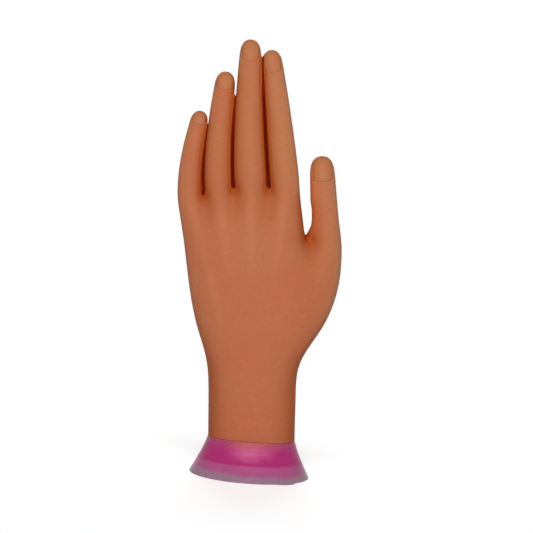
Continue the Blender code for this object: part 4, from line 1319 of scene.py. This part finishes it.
def cup_form(settings):
    outer = [WRIST_WIDTH / 2 + COLLAR_STEP, WRIST_DEPTH / 2 + COLLAR_STEP]
    socket = [size - COLLAR_WALL for size in outer]
    floor = CUP_HEIGHT - SOCKET_DEPTH
    knob_top = floor + KNOB_HEIGHT

    def cone(height, proud=0.0, tab=0.0):
        share = (max(CUP_HEIGHT - height, 0) / CUP_HEIGHT) ** CUP_FLARE
        return oval(outer[0] + proud, outer[1] + proud, height, share, CUP_RIM_RADIUS + proud, tab)

    inside = CUP_RIM_RADIUS - SKIRT_EDGE
    slope = (CUP_RIM_RADIUS - outer[0]) / CUP_HEIGHT * CUP_FLARE
    skirt_root = inside - slope * SKIRT_ROOT_HEIGHT - (SKIRT_WALL - SKIRT_EDGE)
    hollow = [(inside * share, CUP_HOLLOW_HEIGHT - drop) for share, drop in CUP_DOME]
    hollow += [
        (skirt_root - SKIRT_ROOT_STEP, mix(SKIRT_ROOT_HEIGHT, CUP_HOLLOW_HEIGHT, 0.35)),
        (skirt_root, SKIRT_ROOT_HEIGHT), (mix(inside, skirt_root, 0.37), SKIRT_ROOT_HEIGHT * 0.4), (inside, 0),
    ]
    rings = [turned(CENTRE_RADIUS, CUP_HOLLOW_HEIGHT)]
    for (r0, z0), (r1, z1) in zip([(CENTRE_RADIUS, CUP_HOLLOW_HEIGHT)] + hollow, hollow):
        shares = [(i + 1) / HOLLOW_STEPS for i in range(HOLLOW_STEPS)]
        rings += [turned(mix(r0, r1, share), mix(z0, z1, share)) for share in shares]
    rings += [cone(height, out, PULL_TAB_LENGTH * tab) for height, out, tab in FOOT_RINGS]
    low = PULL_TAB_THICKNESS + ROW_START
    count = int((CUP_HEIGHT - ROW_STOP - low) / ROW_SPACING)
    for i in range(count + 1):
        height = low + i * ROW_SPACING
        proud = CUP_RING_PROUD * math.exp(-(((height - CUP_RING_HEIGHT) / CUP_RING_WIDTH) ** 2))
        groove = 1 if i % 2 else -1
        upper = ease((height - CUP_RING_HEIGHT - FINE_RISE[0]) / FINE_RISE[1])
        upper *= 1 - ease((height - CUP_HEIGHT + FINE_FALL[0]) / FINE_FALL[1])
        rings.append(cone(height, proud + groove * settings.striation * upper))
    rings += [cone(CUP_HEIGHT - drop, out) for drop, out in TOP_RINGS]
    for height, out in (
        (CUP_HEIGHT, SOCKET_EDGE), (CUP_HEIGHT - SOCKET_EDGE, 0), (floor + SOCKET_CORNER, 0), (floor, -SOCKET_CORNER),
    ):
        rings.append(oval(socket[0] + out, socket[1] + out, height))
    rings += [turned(KNOB_RADIUS + KNOB_CORNER, floor), turned(KNOB_RADIUS, floor + KNOB_CORNER)]
    rings += [turned(KNOB_RADIUS + KNOB_BEAD * out, knob_top + height) for out, height in KNOB_RINGS]
    rings.append(turned(CENTRE_RADIUS, knob_top))
    return closed_rings([[p + CUP_AXIS for p in ring] for ring in rings])


# Materials


def new_material(name):
    made = bpy.data.materials.new(name)
    made.use_nodes = True
    return made, made.node_tree, made.node_tree.nodes["Principled BSDF"]


def new_group(name, inputs, outputs):
    group = bpy.data.node_groups.new(name, "ShaderNodeTree")
    for label, kind, default in inputs:
        socket = group.interface.new_socket(label, in_out="INPUT", socket_type=kind)
        if default is not None:
            socket.default_value = default
    for label, kind in outputs:
        group.interface.new_socket(label, in_out="OUTPUT", socket_type=kind)
    return group, group.nodes.new("NodeGroupInput"), group.nodes.new("NodeGroupOutput")


def fill(tree, node, inputs):
    """Gives each input, by name or number, its number, vector, colour or another node's output."""
    for key, value in inputs.items():
        socket = node.inputs[key]
        if isinstance(value, bpy.types.NodeSocket):
            tree.links.new(value, socket)
        else:
            socket.default_value = (*value[:3], 1) if socket.type == "RGBA" else value


def add_node(tree, kind, inputs=None, **properties):
    """A node with its properties set and its inputs filled."""
    node = tree.nodes.new(kind)
    for key, value in properties.items():
        setattr(node, key, value)
    fill(tree, node, inputs or {})
    return node


def noise(tree, place, scale, detail=2.0, roughness=0.5, stretch=None):
    if stretch:
        place = add_node(tree, "ShaderNodeMapping", {"Scale": stretch, "Vector": place}).outputs["Vector"]
    inputs = {"Scale": scale, "Detail": detail, "Roughness": roughness, "Vector": place}
    return add_node(tree, "ShaderNodeTexNoise", inputs).outputs["Fac"]


def maths(tree, operation, *values):
    return add_node(tree, "ShaderNodeMath", dict(enumerate(values)), operation=operation).outputs[0]


def map_range(tree, value, span, to=(0, 1), smooth=False):
    """The value's way through the span, from the first of the two numbers to the second."""
    inputs = dict(zip(("From Min", "From Max", "To Min", "To Max", "Value"), (*span, *to, value)))
    kind = "SMOOTHSTEP" if smooth else "LINEAR"
    return add_node(tree, "ShaderNodeMapRange", inputs, interpolation_type=kind).outputs["Result"]


def mix_colours(tree, share, a, b, blend="MIX"):
    inputs = {0: share, 6: a, 7: b}  # the share and the two colours of a colour mix
    node = add_node(tree, "ShaderNodeMix", inputs, data_type="RGBA", blend_type=blend, clamp_factor=True)
    return node.outputs[2]


def layered(tree, base, layers):
    """A colour with others laid over it in turn, each with its share."""
    for share, colour in layers:
        base = mix_colours(tree, share, base, colour)
    return base


def attribute(tree, name, output="Fac"):
    return add_node(tree, "ShaderNodeAttribute", attribute_type="GEOMETRY", attribute_name=name).outputs[output]


def place_of(tree):
    return attribute(tree, "place", "Vector")


def place_parts(tree):
    return add_node(tree, "ShaderNodeSeparateXYZ", {"Vector": place_of(tree)}).outputs


def grain_group():
    """Cloudy colour and the fine dull grain of a mould's surface."""
    name = "Mould Grain"
    if name in bpy.data.node_groups:
        return bpy.data.node_groups[name]
    sizes = [("Grain Size", "NodeSocketFloat", 0.0005), ("Cloud Size", "NodeSocketFloat", 0.02)]
    outputs = [("Height", "NodeSocketFloat"), ("Cloud", "NodeSocketFloat")]
    group, start, end = new_group(name, [("Place", "NodeSocketVector", None), *sizes], outputs)
    for (size, _, _), (label, _), detail in zip(sizes, outputs, (3.0, 4.0)):
        scale = maths(group, "DIVIDE", 1.0, start.outputs[size])
        fill(group, end, {label: noise(group, start.outputs["Place"], scale, detail)})
    return group


def add_grain(tree, grain, cloud):
    inputs = {"Grain Size": grain, "Cloud Size": cloud, "Place": place_of(tree)}
    node = add_node(tree, "ShaderNodeGroup", inputs, node_tree=grain_group())
    return node.outputs["Height"], node.outputs["Cloud"]


NOISE_SPAN = (0.3, 0.7)  # where nearly all of a noise's values lie
# How close the patterns are, in cycles per metre
MOTTLE, NAIL_RIDGES, CUP_STREAKS, DRAWN_LINES = 650, 1600, 1500, 2500


def varied(tree, pattern, low, high):
    """A noise drawn out from low to high."""
    return map_range(tree, pattern, NOISE_SPAN, (low, high))


def clouded(tree, cloud, colour, low, high):
    """A colour that varies between two shares of itself."""
    darker, paler = ([min(c * share, 1) for c in colour] for share in (low, high))
    return mix_colours(tree, varied(tree, cloud, 0, 1), darker, paler)


def bump(tree, height, depth):
    return add_node(tree, "ShaderNodeBump", {"Distance": depth, "Height": height}).outputs["Normal"]


# Where the skin's colours change, across and up in the row frame
FINGERS_X, FINGERS_Z = (-0.022, 0.008), (0.118, 0.158)
THUMB_X, THUMB_Z = (0.026, 0.036), (0.085, 0.120)
# Heights over which the wrist's sides turn from painted shade to painted reflection
WRIST_Z = (0.058, 0.092)
SKIN_CLOUDS = 0.022
# Between which values of its mask each colour comes in
CREASE_SPAN, CREASE_POWER = (0.006, 0.36), 0.75
FLANK_SPAN = (0.02, 0.22)
GAP_SPAN = (0.36, 0.48)
# How much of the painted highlight on the crests, the painted reflection and shade on the outer sides and the painted
# light on the thumb's inner side comes in
CREST_SHARE, SIDE_SHARE, THUMB_SIDE_SHARE = 0.16, 0.85, 0.75


def skin_material(settings):
    made, tree, shader = new_material("soft_vinyl_skin")
    height, cloud = add_grain(tree, settings.grain_size, SKIN_CLOUDS)
    x, _, z = place_parts(tree)
    side = attribute(tree, "side")
    fingers = maths(tree, "MULTIPLY", map_range(tree, x, FINGERS_X, (0.15, 1), smooth=True),
                    map_range(tree, z, FINGERS_Z, smooth=True))
    thumb = maths(tree, "MULTIPLY", map_range(tree, x, THUMB_X, smooth=True),
                  map_range(tree, z, THUMB_Z, (0, 0.9), smooth=True))
    # Painted shade on the wrist's sides, turning into painted reflection on the outer sides higher up
    outer = mix_colours(tree, map_range(tree, z, WRIST_Z, smooth=True), settings.wrist_side_shade_colour, settings.side_reflection_colour)
    base = layered(tree, settings.colour, (
        (varied(tree, cloud, 0, 0.8), settings.second_colour),
        (maths(tree, "MAXIMUM", fingers, thumb), settings.finger_colour),
        # A painted highlight along the ridges of the back
        (maths(tree, "MULTIPLY", attribute(tree, "crest"), CREST_SHARE), settings.crest_highlight_colour),
        (map_range(tree, side, (0, 1), (0, SIDE_SHARE)), outer),
    ))
    mottle = map_range(tree, noise(tree, place_of(tree), MOTTLE, 3.0, 0.6), (0.32, 0.68), (0.955, 1.045))
    # Painted shade, dark and warm, in the creases, valleys and gaps
    warmth = map_range(tree, attribute(tree, "warmth"), CREASE_SPAN)
    base = layered(tree, mix_colours(tree, 1.0, base, mottle, "MULTIPLY"), (
        (maths(tree, "POWER", warmth, CREASE_POWER), settings.crease_shade_colour),
        # Painted bounce light on the fingers' sides in the gaps
        (map_range(tree, attribute(tree, "flank"), FLANK_SPAN), settings.flank_bounce_colour),
        # Painted light on the thumb's inner side
        (map_range(tree, side, (0, -1), (0, THUMB_SIDE_SHARE)), settings.thumb_side_light_colour),
        # Painted shade deep in the gaps
        (map_range(tree, attribute(tree, "shelter"), GAP_SPAN, smooth=True), settings.gap_shade_colour),
    ))
    fill(tree, shader, {
        "Base Color": base,
        "Roughness": varied(tree, cloud, settings.roughness - 0.04, settings.roughness + 0.05),
        "Specular IOR Level": 0.06,
        "Normal": bump(tree, height, settings.grain_depth),
    })
    return made


# How far from the tip, the nail's sides and the cuticle its painted shade fades
TIP_FADE, SIDE_FADE, CUTICLE_FADE = (0, 0.0022), (0, 0.0011), (0, 0.0007)
SIDE_SHADE_FADE = (0, 0.0060)


def nail_material(settings):
    made, tree, shader = new_material("moulded_nail")
    height, cloud = add_grain(tree, 0.0004, 0.006)
    past = attribute(tree, "past_cuticle")
    # Painted shade at the tip's rounded edge
    tip = map_range(tree, attribute(tree, "to_tip"), TIP_FADE, (0.7, 0), smooth=True)
    sides = maths(tree, "MULTIPLY", map_range(tree, attribute(tree, "inset"), SIDE_FADE, (1, 0), smooth=True),
                  map_range(tree, past, SIDE_SHADE_FADE, (0.42, 0.10)))
    # Painted shade along the cuticle and down the nail's sides
    line = maths(tree, "MAXIMUM", map_range(tree, past, CUTICLE_FADE, (0.62, 0), smooth=True), sides)
    ridges = noise(tree, place_of(tree), NAIL_RIDGES, stretch=(1, 1, 0.06))
    total = maths(tree, "ADD", maths(tree, "MULTIPLY", ridges, 0.7), maths(tree, "MULTIPLY", height, 0.3))
    layers = ((tip, settings.tip_edge_shade_colour), (line, settings.cuticle_shade_colour))
    fill(tree, shader, {
        "Base Color": layered(tree, clouded(tree, cloud, settings.colour, 0.97, 1.03), layers),
        "Roughness": varied(tree, ridges, settings.roughness - 0.05, settings.roughness + 0.05),
        "Specular IOR Level": 0.12,
        "Normal": bump(tree, total, 0.00003),
    })
    return made


# Where the cup's colours change: heights, and distances from the middle across
BAND_Z, CONE_Z, LIP_Z = (0.0020, 0.0044), (0.0064, 0.0080), (0.0130, 0.0178)
# Where the painted sheen lies, mixed with the plug showing through, across and up
SHEEN_X, SHEEN_Z = (0.0040, 0.0140), (0.0085, 0.0120)
FLESH_X = (0.004, 0.016)
MIDDLE_SHIFT = 0.0005
LEVEL_WANDER = 0.005


def cup_material(settings):
    made, tree, shader = new_material("clear_pink_rubber")
    height, cloud = add_grain(tree, 0.0006, 0.009)
    x, _, z = place_parts(tree)
    aside = maths(tree, "ABSOLUTE", maths(tree, "SUBTRACT", x, CUP_AXIS.x + MIDDLE_SHIFT))
    level = maths(tree, "ADD", z, maths(tree, "MULTIPLY", maths(tree, "SUBTRACT", cloud, 0.5), LEVEL_WANDER))
    streaks = noise(tree, place_of(tree), CUP_STREAKS, 3.0, 0.6, stretch=(0.05, 0.05, 1))
    # Painted sheen in the cone's front middle, where the plug also shows through, broken into faint streaks
    middle = maths(tree, "MULTIPLY", map_range(tree, aside, SHEEN_X, (1, 0), smooth=True),
                   map_range(tree, level, SHEEN_Z, smooth=True))
    middle = maths(tree, "MULTIPLY", middle, map_range(tree, streaks, (0.35, 0.65), (0.65, 1)))
    at_lip = mix_colours(tree, map_range(tree, aside, FLESH_X, (1, 0), smooth=True),
                         settings.lip_colour, settings.flesh_colour)
    colour = layered(tree, settings.skirt_colour, (
        (map_range(tree, level, BAND_Z, smooth=True), settings.band_colour),
        (map_range(tree, z, CONE_Z, smooth=True), settings.cone_colour),
        (middle, settings.sheen_and_plug_colour),
        (map_range(tree, level, LIP_Z, smooth=True), at_lip),
    ))
    fill(tree, shader, {
        "Base Color": mix_colours(tree, 1.0, colour, varied(tree, streaks, 0.96, 1.04), "MULTIPLY"),
        "Roughness": varied(tree, cloud, settings.roughness - 0.04, settings.roughness + 0.05),
        "Transmission Weight": settings.clearness,
        "IOR": 1.45,
        "Specular IOR Level": 0.14,
        "Subsurface Weight": 0.35,
        "Subsurface Radius": (1.0, 0.35, 0.7),
        "Subsurface Scale": 0.003,
        "Normal": bump(tree, height, 0.00001),
    })
    return made


def plastic_material(name, colour, roughness):
    made, tree, shader = new_material(name)
    height, cloud = add_grain(tree, 0.0007, 0.010)
    fill(tree, shader, {
        "Base Color": clouded(tree, cloud, colour, 0.95, 1.04),
        "Roughness": varied(tree, cloud, roughness - 0.06, roughness + 0.06),
        "Normal": bump(tree, height, 0.00003),
    })
    return made


def wire_material():
    made, tree, shader = new_material("annealed_wire")
    drawn = noise(tree, place_of(tree), DRAWN_LINES, stretch=(1, 1, 0.04))
    fill(tree, shader, {
        "Base Color": mix_colours(tree, drawn, (0.34, 0.33, 0.32), (0.56, 0.55, 0.54)),
        "Roughness": varied(tree, drawn, 0.28, 0.48),
        "Metallic": 1.0,
        "Normal": bump(tree, drawn, 0.00002),
    })
    return made


# Settings


def colour_setting(name, description, default):
    return FloatVectorProperty(
        name=name, description=description, default=default, subtype="COLOR", size=3, min=0, max=1
    )


def length_setting(name, description, default):
    return FloatProperty(name=name, description=description, default=default, subtype="DISTANCE", unit="LENGTH", min=0)


def share_setting(name, description, default):
    return FloatProperty(name=name, description=description, default=default, subtype="FACTOR", min=0, max=2)


def power_setting(name, description, default):
    return FloatProperty(name=name, description=description, default=default, unit="POWER", min=0)


def level_setting(name, description, default):
    return IntProperty(name=name, description=description, default=default, min=1, max=5)


class SkinSettings(bpy.types.PropertyGroup):
    """Form and finish of the soft skin."""

    colour: colour_setting("Skin", "Colour of the vinyl in the open", (0.502, 0.141, 0.064))
    second_colour: colour_setting("Second skin colour", "Colour of its paler clouds", (0.485, 0.165, 0.073))
    finger_colour: colour_setting("Fingers", "Colour of the vinyl along the fingers", (0.496, 0.181, 0.077))
    # Painted reflection on the hand's outer sides
    side_reflection_colour: colour_setting("Sides", "Colour of the vinyl on the hand's outer sides", (0.545, 0.222, 0.106))
    # Painted light on the thumb's inner side
    thumb_side_light_colour: colour_setting("Thumb side", "Colour of the vinyl on the thumb's inner side", (0.710, 0.190, 0.060))
    # Painted shade on the wrist's sides
    wrist_side_shade_colour: colour_setting("Wrist sides", "Colour of the vinyl on the wrist's sides", (0.425, 0.110, 0.038))
    # Painted highlight along the ridges of the back
    crest_highlight_colour: colour_setting("Crests", "Colour of the vinyl along the ridges", (0.640, 0.250, 0.140))
    # Painted shade in the creases, valleys and gaps
    crease_shade_colour: colour_setting("Creases", "Colour of the vinyl in folds and valleys", (0.405, 0.082, 0.014))
    # Painted bounce light, orange, on the fingers' sides in the gaps
    flank_bounce_colour: colour_setting("Flanks", "Colour of the fingers' sides in a gap", (0.575, 0.128, 0.022))
    # Painted shade deep in the gaps between the fingers
    gap_shade_colour: colour_setting("Gaps", "Colour of the vinyl deep in the gaps", (0.315, 0.024, 0.0004))
    roughness: share_setting("Roughness", "Dullness of the skin", 0.56)
    grain_size: length_setting("Grain size", "Size of the mould's fine grain", 0.0005)
    grain_depth: length_setting("Grain depth", "Depth of the mould's fine grain", 0.00003)
    valley_depth: share_setting("Valleys", "Depth of the valleys below the webs", 2.3)
    tendon_height: share_setting("Tendons", "Height of the tendons on the back", 1.5)
    crease_depth: share_setting("Palm creases", "Depth of the creases in the palm and fingers", 1.8)
    cuticle_height: length_setting("Cuticle fold", "Height of the fold round each nail", 0.00010)
    palm_levels: level_setting("Palm levels", "Subdivisions of the palm and fingers", 3)
    tip_levels: level_setting("Tip levels", "Subdivisions of the fingertips", 4)


class NailSettings(bpy.types.PropertyGroup):
    """Form and finish of the nails."""

    colour: colour_setting("Nail", "Colour of the nails", (0.480, 0.169, 0.067))
    # Painted shade at the rounded tip's edge
    tip_edge_shade_colour: colour_setting("Nail tip", "Colour of the nails at the tips' edges", (0.440, 0.146, 0.060))
    # Painted shade in the crease beside the cuticle
    cuticle_shade_colour: colour_setting("Cuticle", "Colour of the nails beside the cuticle", (0.300, 0.072, 0.022))
    roughness: share_setting("Roughness", "Dullness of the nails", 0.46)
    thickness: length_setting("Thickness", "Thickness of each nail", 0.00042)
    cuticle_step: length_setting("Cuticle step", "Depth of the nail below the skin at its cuticle", 0.00032)
    flush: length_setting("Flush", "Depth of the nail below the skin elsewhere", 0.00004)


class CupSettings(bpy.types.PropertyGroup):
    """Form and finish of the suction cup."""

    cone_colour: colour_setting("Cone", "Colour of the cone", (0.480, 0.029, 0.186))
    # Painted sheen, mixed with the plug showing through
    sheen_and_plug_colour: colour_setting("Middle", "Colour where the plug shows through", (0.640, 0.105, 0.285))
    band_colour: colour_setting("Band", "Colour below the ring", (0.490, 0.096, 0.262))
    skirt_colour: colour_setting("Skirt", "Colour of the thin skirt", (0.375, 0.212, 0.288))
    lip_colour: colour_setting("Lip", "Colour of the thin lip round the wrist", (0.445, 0.072, 0.168))
    flesh_colour: colour_setting("Wrist", "Colour where the wrist shows through the lip", (0.515, 0.118, 0.122))
    roughness: share_setting("Roughness", "Dullness of the cup", 0.28)
    clearness: share_setting("Clearness", "How much of the light goes through the cup", 0.02)
    striation: length_setting("Striation", "Depth of the fine rings on the cone", 0.000015)


class StageSettings(bpy.types.PropertyGroup):
    """Camera, lamps and floor."""

    distance: length_setting("Distance", "From the camera to the hand", 0.66)
    pixel: length_setting("Pixel", "Length at the hand that one pixel of 533 shows", 0.0004966)
    key_power: power_setting("Key", "Power of the front lamp", 8.4)
    high_power: power_setting("High", "Power of the high lamp", 2.3)
    rear_power: power_setting("Rear", "Power of the lamp behind", 7.2)
    ambient: share_setting("Ambient", "Strength of the light from all round", 0.10)
    floor_colour: colour_setting("Floor", "Colour of the floor near the cup", (0.86, 0.86, 0.86))
    floor_glow: share_setting("Floor glow", "White that the camera sees over the floor's own colour", 0.50)


# Operators


def fill_slots(piece, material):
    piece.data.materials.clear()
    piece.data.materials.append(material)


def body_names(finger):
    """The bodies from the palm to the fingertip."""
    names = [f"{finger.name}_{name}_length" for name, _, _ in finger.knuckles[:-1]]
    return ["palm", *names, f"{finger.name}_fingertip"]


def bend_planes(finger):
    """Where each knuckle's bend starts and ends, in the row frame."""
    return [
        [HAND_PLACE @ (k.place @ Vector((0, 0, side * k.half_length))) for side in (-1, 1)]
        for k in knuckles_of(finger)
    ]


class HAND_OT_skin(bpy.types.Operator):
    """Builds the palm's skin, the fingers' skin and the nails"""

    bl_idname = "practice_hand.skin"
    bl_label = "Skin and nails"

    def execute(self, context):
        settings, nails = context.scene.practice_skin, context.scene.practice_nails
        vinyl, nail_look = skin_material(settings), nail_material(nails)
        surface, _, tree = make_surface(settings.palm_levels, True, settings)
        tips, smooth, _ = make_surface(settings.tip_levels, False, settings, tree)

        palm = plain_piece("palm_soft_skin", surface, (None, 0))
        fill_slots(palm, vinyl)
        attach(palm, "palm")
        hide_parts("palm_skin")
        for i, finger in enumerate(FINGERS):
            bodies, planes = body_names(finger), bend_planes(finger)
            form = NailForm(finger, smooth, nails)
            for number, (name, _, _) in enumerate(finger.knuckles, 1):
                label = f"{finger.name}_{name}_soft_skin"
                if number < len(finger.knuckles):
                    made = plain_piece(label, surface, (i, number))
                else:
                    cutter = object_from("bed_cutter", form.bed())
                    made = tip_piece(label, tips, (i, number), cutter)
                fill_slots(made, vinyl)
                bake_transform(made)
                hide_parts(f"{finger.name}_{name}_knuckle", bodies[number])
            nail = object_from(f"{finger.name}_moulded_nail", form.plate(), HAND_PLACE, sharp=70)
            form.add_masks(nail.data)
            fill_slots(nail, nail_look)
            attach(nail, f"{finger.name}_nail")
            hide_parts(f"{finger.name}_nail")
        return {"FINISHED"}


class HAND_OT_armature(bpy.types.Operator):
    """Builds the bendable wires, and finishes the palm's core and the wrist's plug"""

    bl_idname = "practice_hand.armature"
    bl_label = "Wires, core and plug"

    def execute(self, context):
        steel = wire_material()
        for finger in FINGERS:
            bodies, planes = body_names(finger), bend_planes(finger)
            parts = split_path(wire_path(finger), borders_of(finger)[1:])
            for number, (points, (name, _, _)) in enumerate(zip(parts, finger.knuckles), 1):
                bm = tube(points, number == 1, number == len(parts))
                made = object_from(f"{finger.name}_{name}_wire_run", bm, HAND_PLACE)
                fill_slots(made, steel)
                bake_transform(made)
                if number == 1:
                    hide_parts(f"{finger.name}_wire")
        for node, colour, roughness in (
            ("palm_core", (0.70, 0.69, 0.65), 0.50),
            ("wrist_plug", (0.62, 0.60, 0.56), 0.48),
        ):
            fill_slots(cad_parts[node], plastic_material(f"{node}_plastic", colour, roughness))
        return {"FINISHED"}


class HAND_OT_cup(bpy.types.Operator):
    """Builds the suction cup"""

    bl_idname = "practice_hand.cup"
    bl_label = "Suction cup"

    def execute(self, context):
        settings = context.scene.practice_cup
        cup = object_from("soft_suction_cup", cup_form(settings), sharp=60)
        fill_slots(cup, cup_material(settings))
        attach(cup, "palm")
        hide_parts("suction_cup")
        return {"FINISHED"}


FLOOR_SIZE = 6.0
FLOOR_FADE = (0.05, 0.16)  # how far from the middle the floor turns from its own colour to white
# Each lamp's name, place and size
LAMPS = (("key", (0.0, -1.15, 0.38), 0.50), ("high", (0.0, -0.68, 0.98), 0.26), ("rear", (0.0, 1.20, 0.50), 0.60))
LAMP_TARGET = Vector((0, 0, 0.11))
# In pixels of the picture, across and down: its width, its middle and the place of the cup's top
PICTURE_WIDTH = 533
PICTURE_MIDDLE = (266.25, 266.5)
CUP_TOP = (251.4, 438)
CAMERA_PITCH = math.radians(0.8)
CAMERA_ROLL = math.radians(0.1)


class HAND_OT_stage(bpy.types.Operator):
    """Sets the floor, the white surroundings, the lamps and the camera"""

    bl_idname = "practice_hand.stage"
    bl_label = "Stage"

    def execute(self, context):
        settings = context.scene.practice_stage
        self.add_floor(settings)
        self.add_world(context.scene, settings)
        for name, place, size in LAMPS:
            lamp = bpy.data.lights.new(name, "AREA")
            lamp.energy, lamp.size = getattr(settings, f"{name}_power"), size
            placed = add_object(name, lamp)
            placed.location = place
            placed.rotation_euler = (LAMP_TARGET - Vector(place)).to_track_quat("-Z", "Y").to_euler()
        self.add_camera(context.scene, settings)
        context.scene.view_settings.view_transform = "Standard"
        return {"FINISHED"}

    def seen(self, tree):
        """1 for the rays of the camera, of gloss and of clear pieces."""
        path = add_node(tree, "ShaderNodeLightPath")
        rays = maths(tree, "MAXIMUM", path.outputs["Is Camera Ray"], path.outputs["Is Glossy Ray"])
        return maths(tree, "MAXIMUM", rays, path.outputs["Is Transmission Ray"])

    def add_floor(self, settings):
        bm = bmesh.new()
        bmesh.ops.create_grid(bm, x_segments=1, y_segments=1, size=FLOOR_SIZE / 2)
        mesh = bpy.data.meshes.new("floor")
        bm.to_mesh(mesh)
        bm.free()
        floor = add_object("floor", mesh)
        made, tree, shader = new_material("pale_floor")
        fill(tree, shader, {"Base Color": settings.floor_colour, "Roughness": 0.9, "Specular IOR Level": 0.1})
        strength = maths(tree, "MULTIPLY", self.seen(tree), settings.floor_glow)
        glow = add_node(tree, "ShaderNodeEmission", {"Strength": strength}).outputs[0]
        lit = add_node(tree, "ShaderNodeAddShader", {0: shader.outputs[0], 1: glow}).outputs[0]
        place = add_node(tree, "ShaderNodeNewGeometry").outputs["Position"]
        away = add_node(tree, "ShaderNodeVectorMath", {0: place}, operation="LENGTH").outputs["Value"]
        share = maths(tree, "MULTIPLY", map_range(tree, away, FLOOR_FADE, smooth=True), self.seen(tree))
        white = add_node(tree, "ShaderNodeEmission").outputs[0]
        blend = add_node(tree, "ShaderNodeMixShader", {0: share, 1: lit, 2: white}).outputs[0]
        fill(tree, tree.nodes["Material Output"], {"Surface": blend})
        mesh.materials.append(made)

    def add_world(self, scene, settings):
        world = bpy.data.worlds.new("studio")
        world.use_nodes = True
        scene.world = world
        tree = world.node_tree
        strength = map_range(tree, self.seen(tree), (0, 1), (settings.ambient, 1.0))
        fill(tree, tree.nodes["Background"], {"Color": (1, 1, 1), "Strength": strength})

    def add_camera(self, scene, settings):
        """Looks at the hand's back, upright with the hand and from a little above its middle."""
        camera = bpy.data.cameras.new("camera")
        camera.sensor_width = 36.0
        camera.lens = camera.sensor_width * settings.distance / (PICTURE_WIDTH * settings.pixel)
        camera.clip_start = 0.01
        placed = add_object("camera", camera)
        right, up = PICTURE_MIDDLE[0] - CUP_TOP[0], CUP_TOP[1] - PICTURE_MIDDLE[1]
        middle = Vector((right * settings.pixel, 0, up * settings.pixel))
        tilt = Matrix.Rotation(-CAMERA_PITCH, 4, "X") @ Matrix.Translation((0, -settings.distance, 0))
        turned_up = Matrix.Rotation(math.radians(90), 4, "X") @ Matrix.Rotation(CAMERA_ROLL, 4, "Z")
        placed.matrix_world = HAND_PLACE @ Matrix.Translation(middle) @ tilt @ turned_up
        scene.camera = placed


class VIEW3D_PT_practice_hand(bpy.types.Panel):
    """Lists the steps and their settings"""

    bl_label = "Practice Hand"
    bl_space_type = "VIEW_3D"
    bl_region_type = "UI"
    bl_category = "Practice Hand"

    def draw(self, context):
        for operator in OPERATORS:
            self.layout.operator(operator.bl_idname)
        for group, _ in GROUPS:
            box = self.layout.box()
            settings = getattr(context.scene, group)
            for key in type(settings).__annotations__:
                box.prop(settings, key)


OPERATORS = (HAND_OT_skin, HAND_OT_armature, HAND_OT_cup, HAND_OT_stage)
GROUPS = (
    ("practice_skin", SkinSettings),
    ("practice_nails", NailSettings),
    ("practice_cup", CupSettings),
    ("practice_stage", StageSettings),
)


def register():
    for name, group in GROUPS:
        bpy.utils.register_class(group)
        setattr(bpy.types.Scene, name, PointerProperty(type=group))
    for kind in (*OPERATORS, VIEW3D_PT_practice_hand):
        bpy.utils.register_class(kind)


def unregister():
    for kind in (VIEW3D_PT_practice_hand, *reversed(OPERATORS)):
        bpy.utils.unregister_class(kind)
    for name, group in reversed(GROUPS):
        delattr(bpy.types.Scene, name)
        bpy.utils.unregister_class(group)


def main():
    register()
    bpy.ops.practice_hand.skin()
    bpy.ops.practice_hand.armature()
    bpy.ops.practice_hand.cup()
    bpy.ops.practice_hand.stage()


if __name__ == "__main__":
    main()
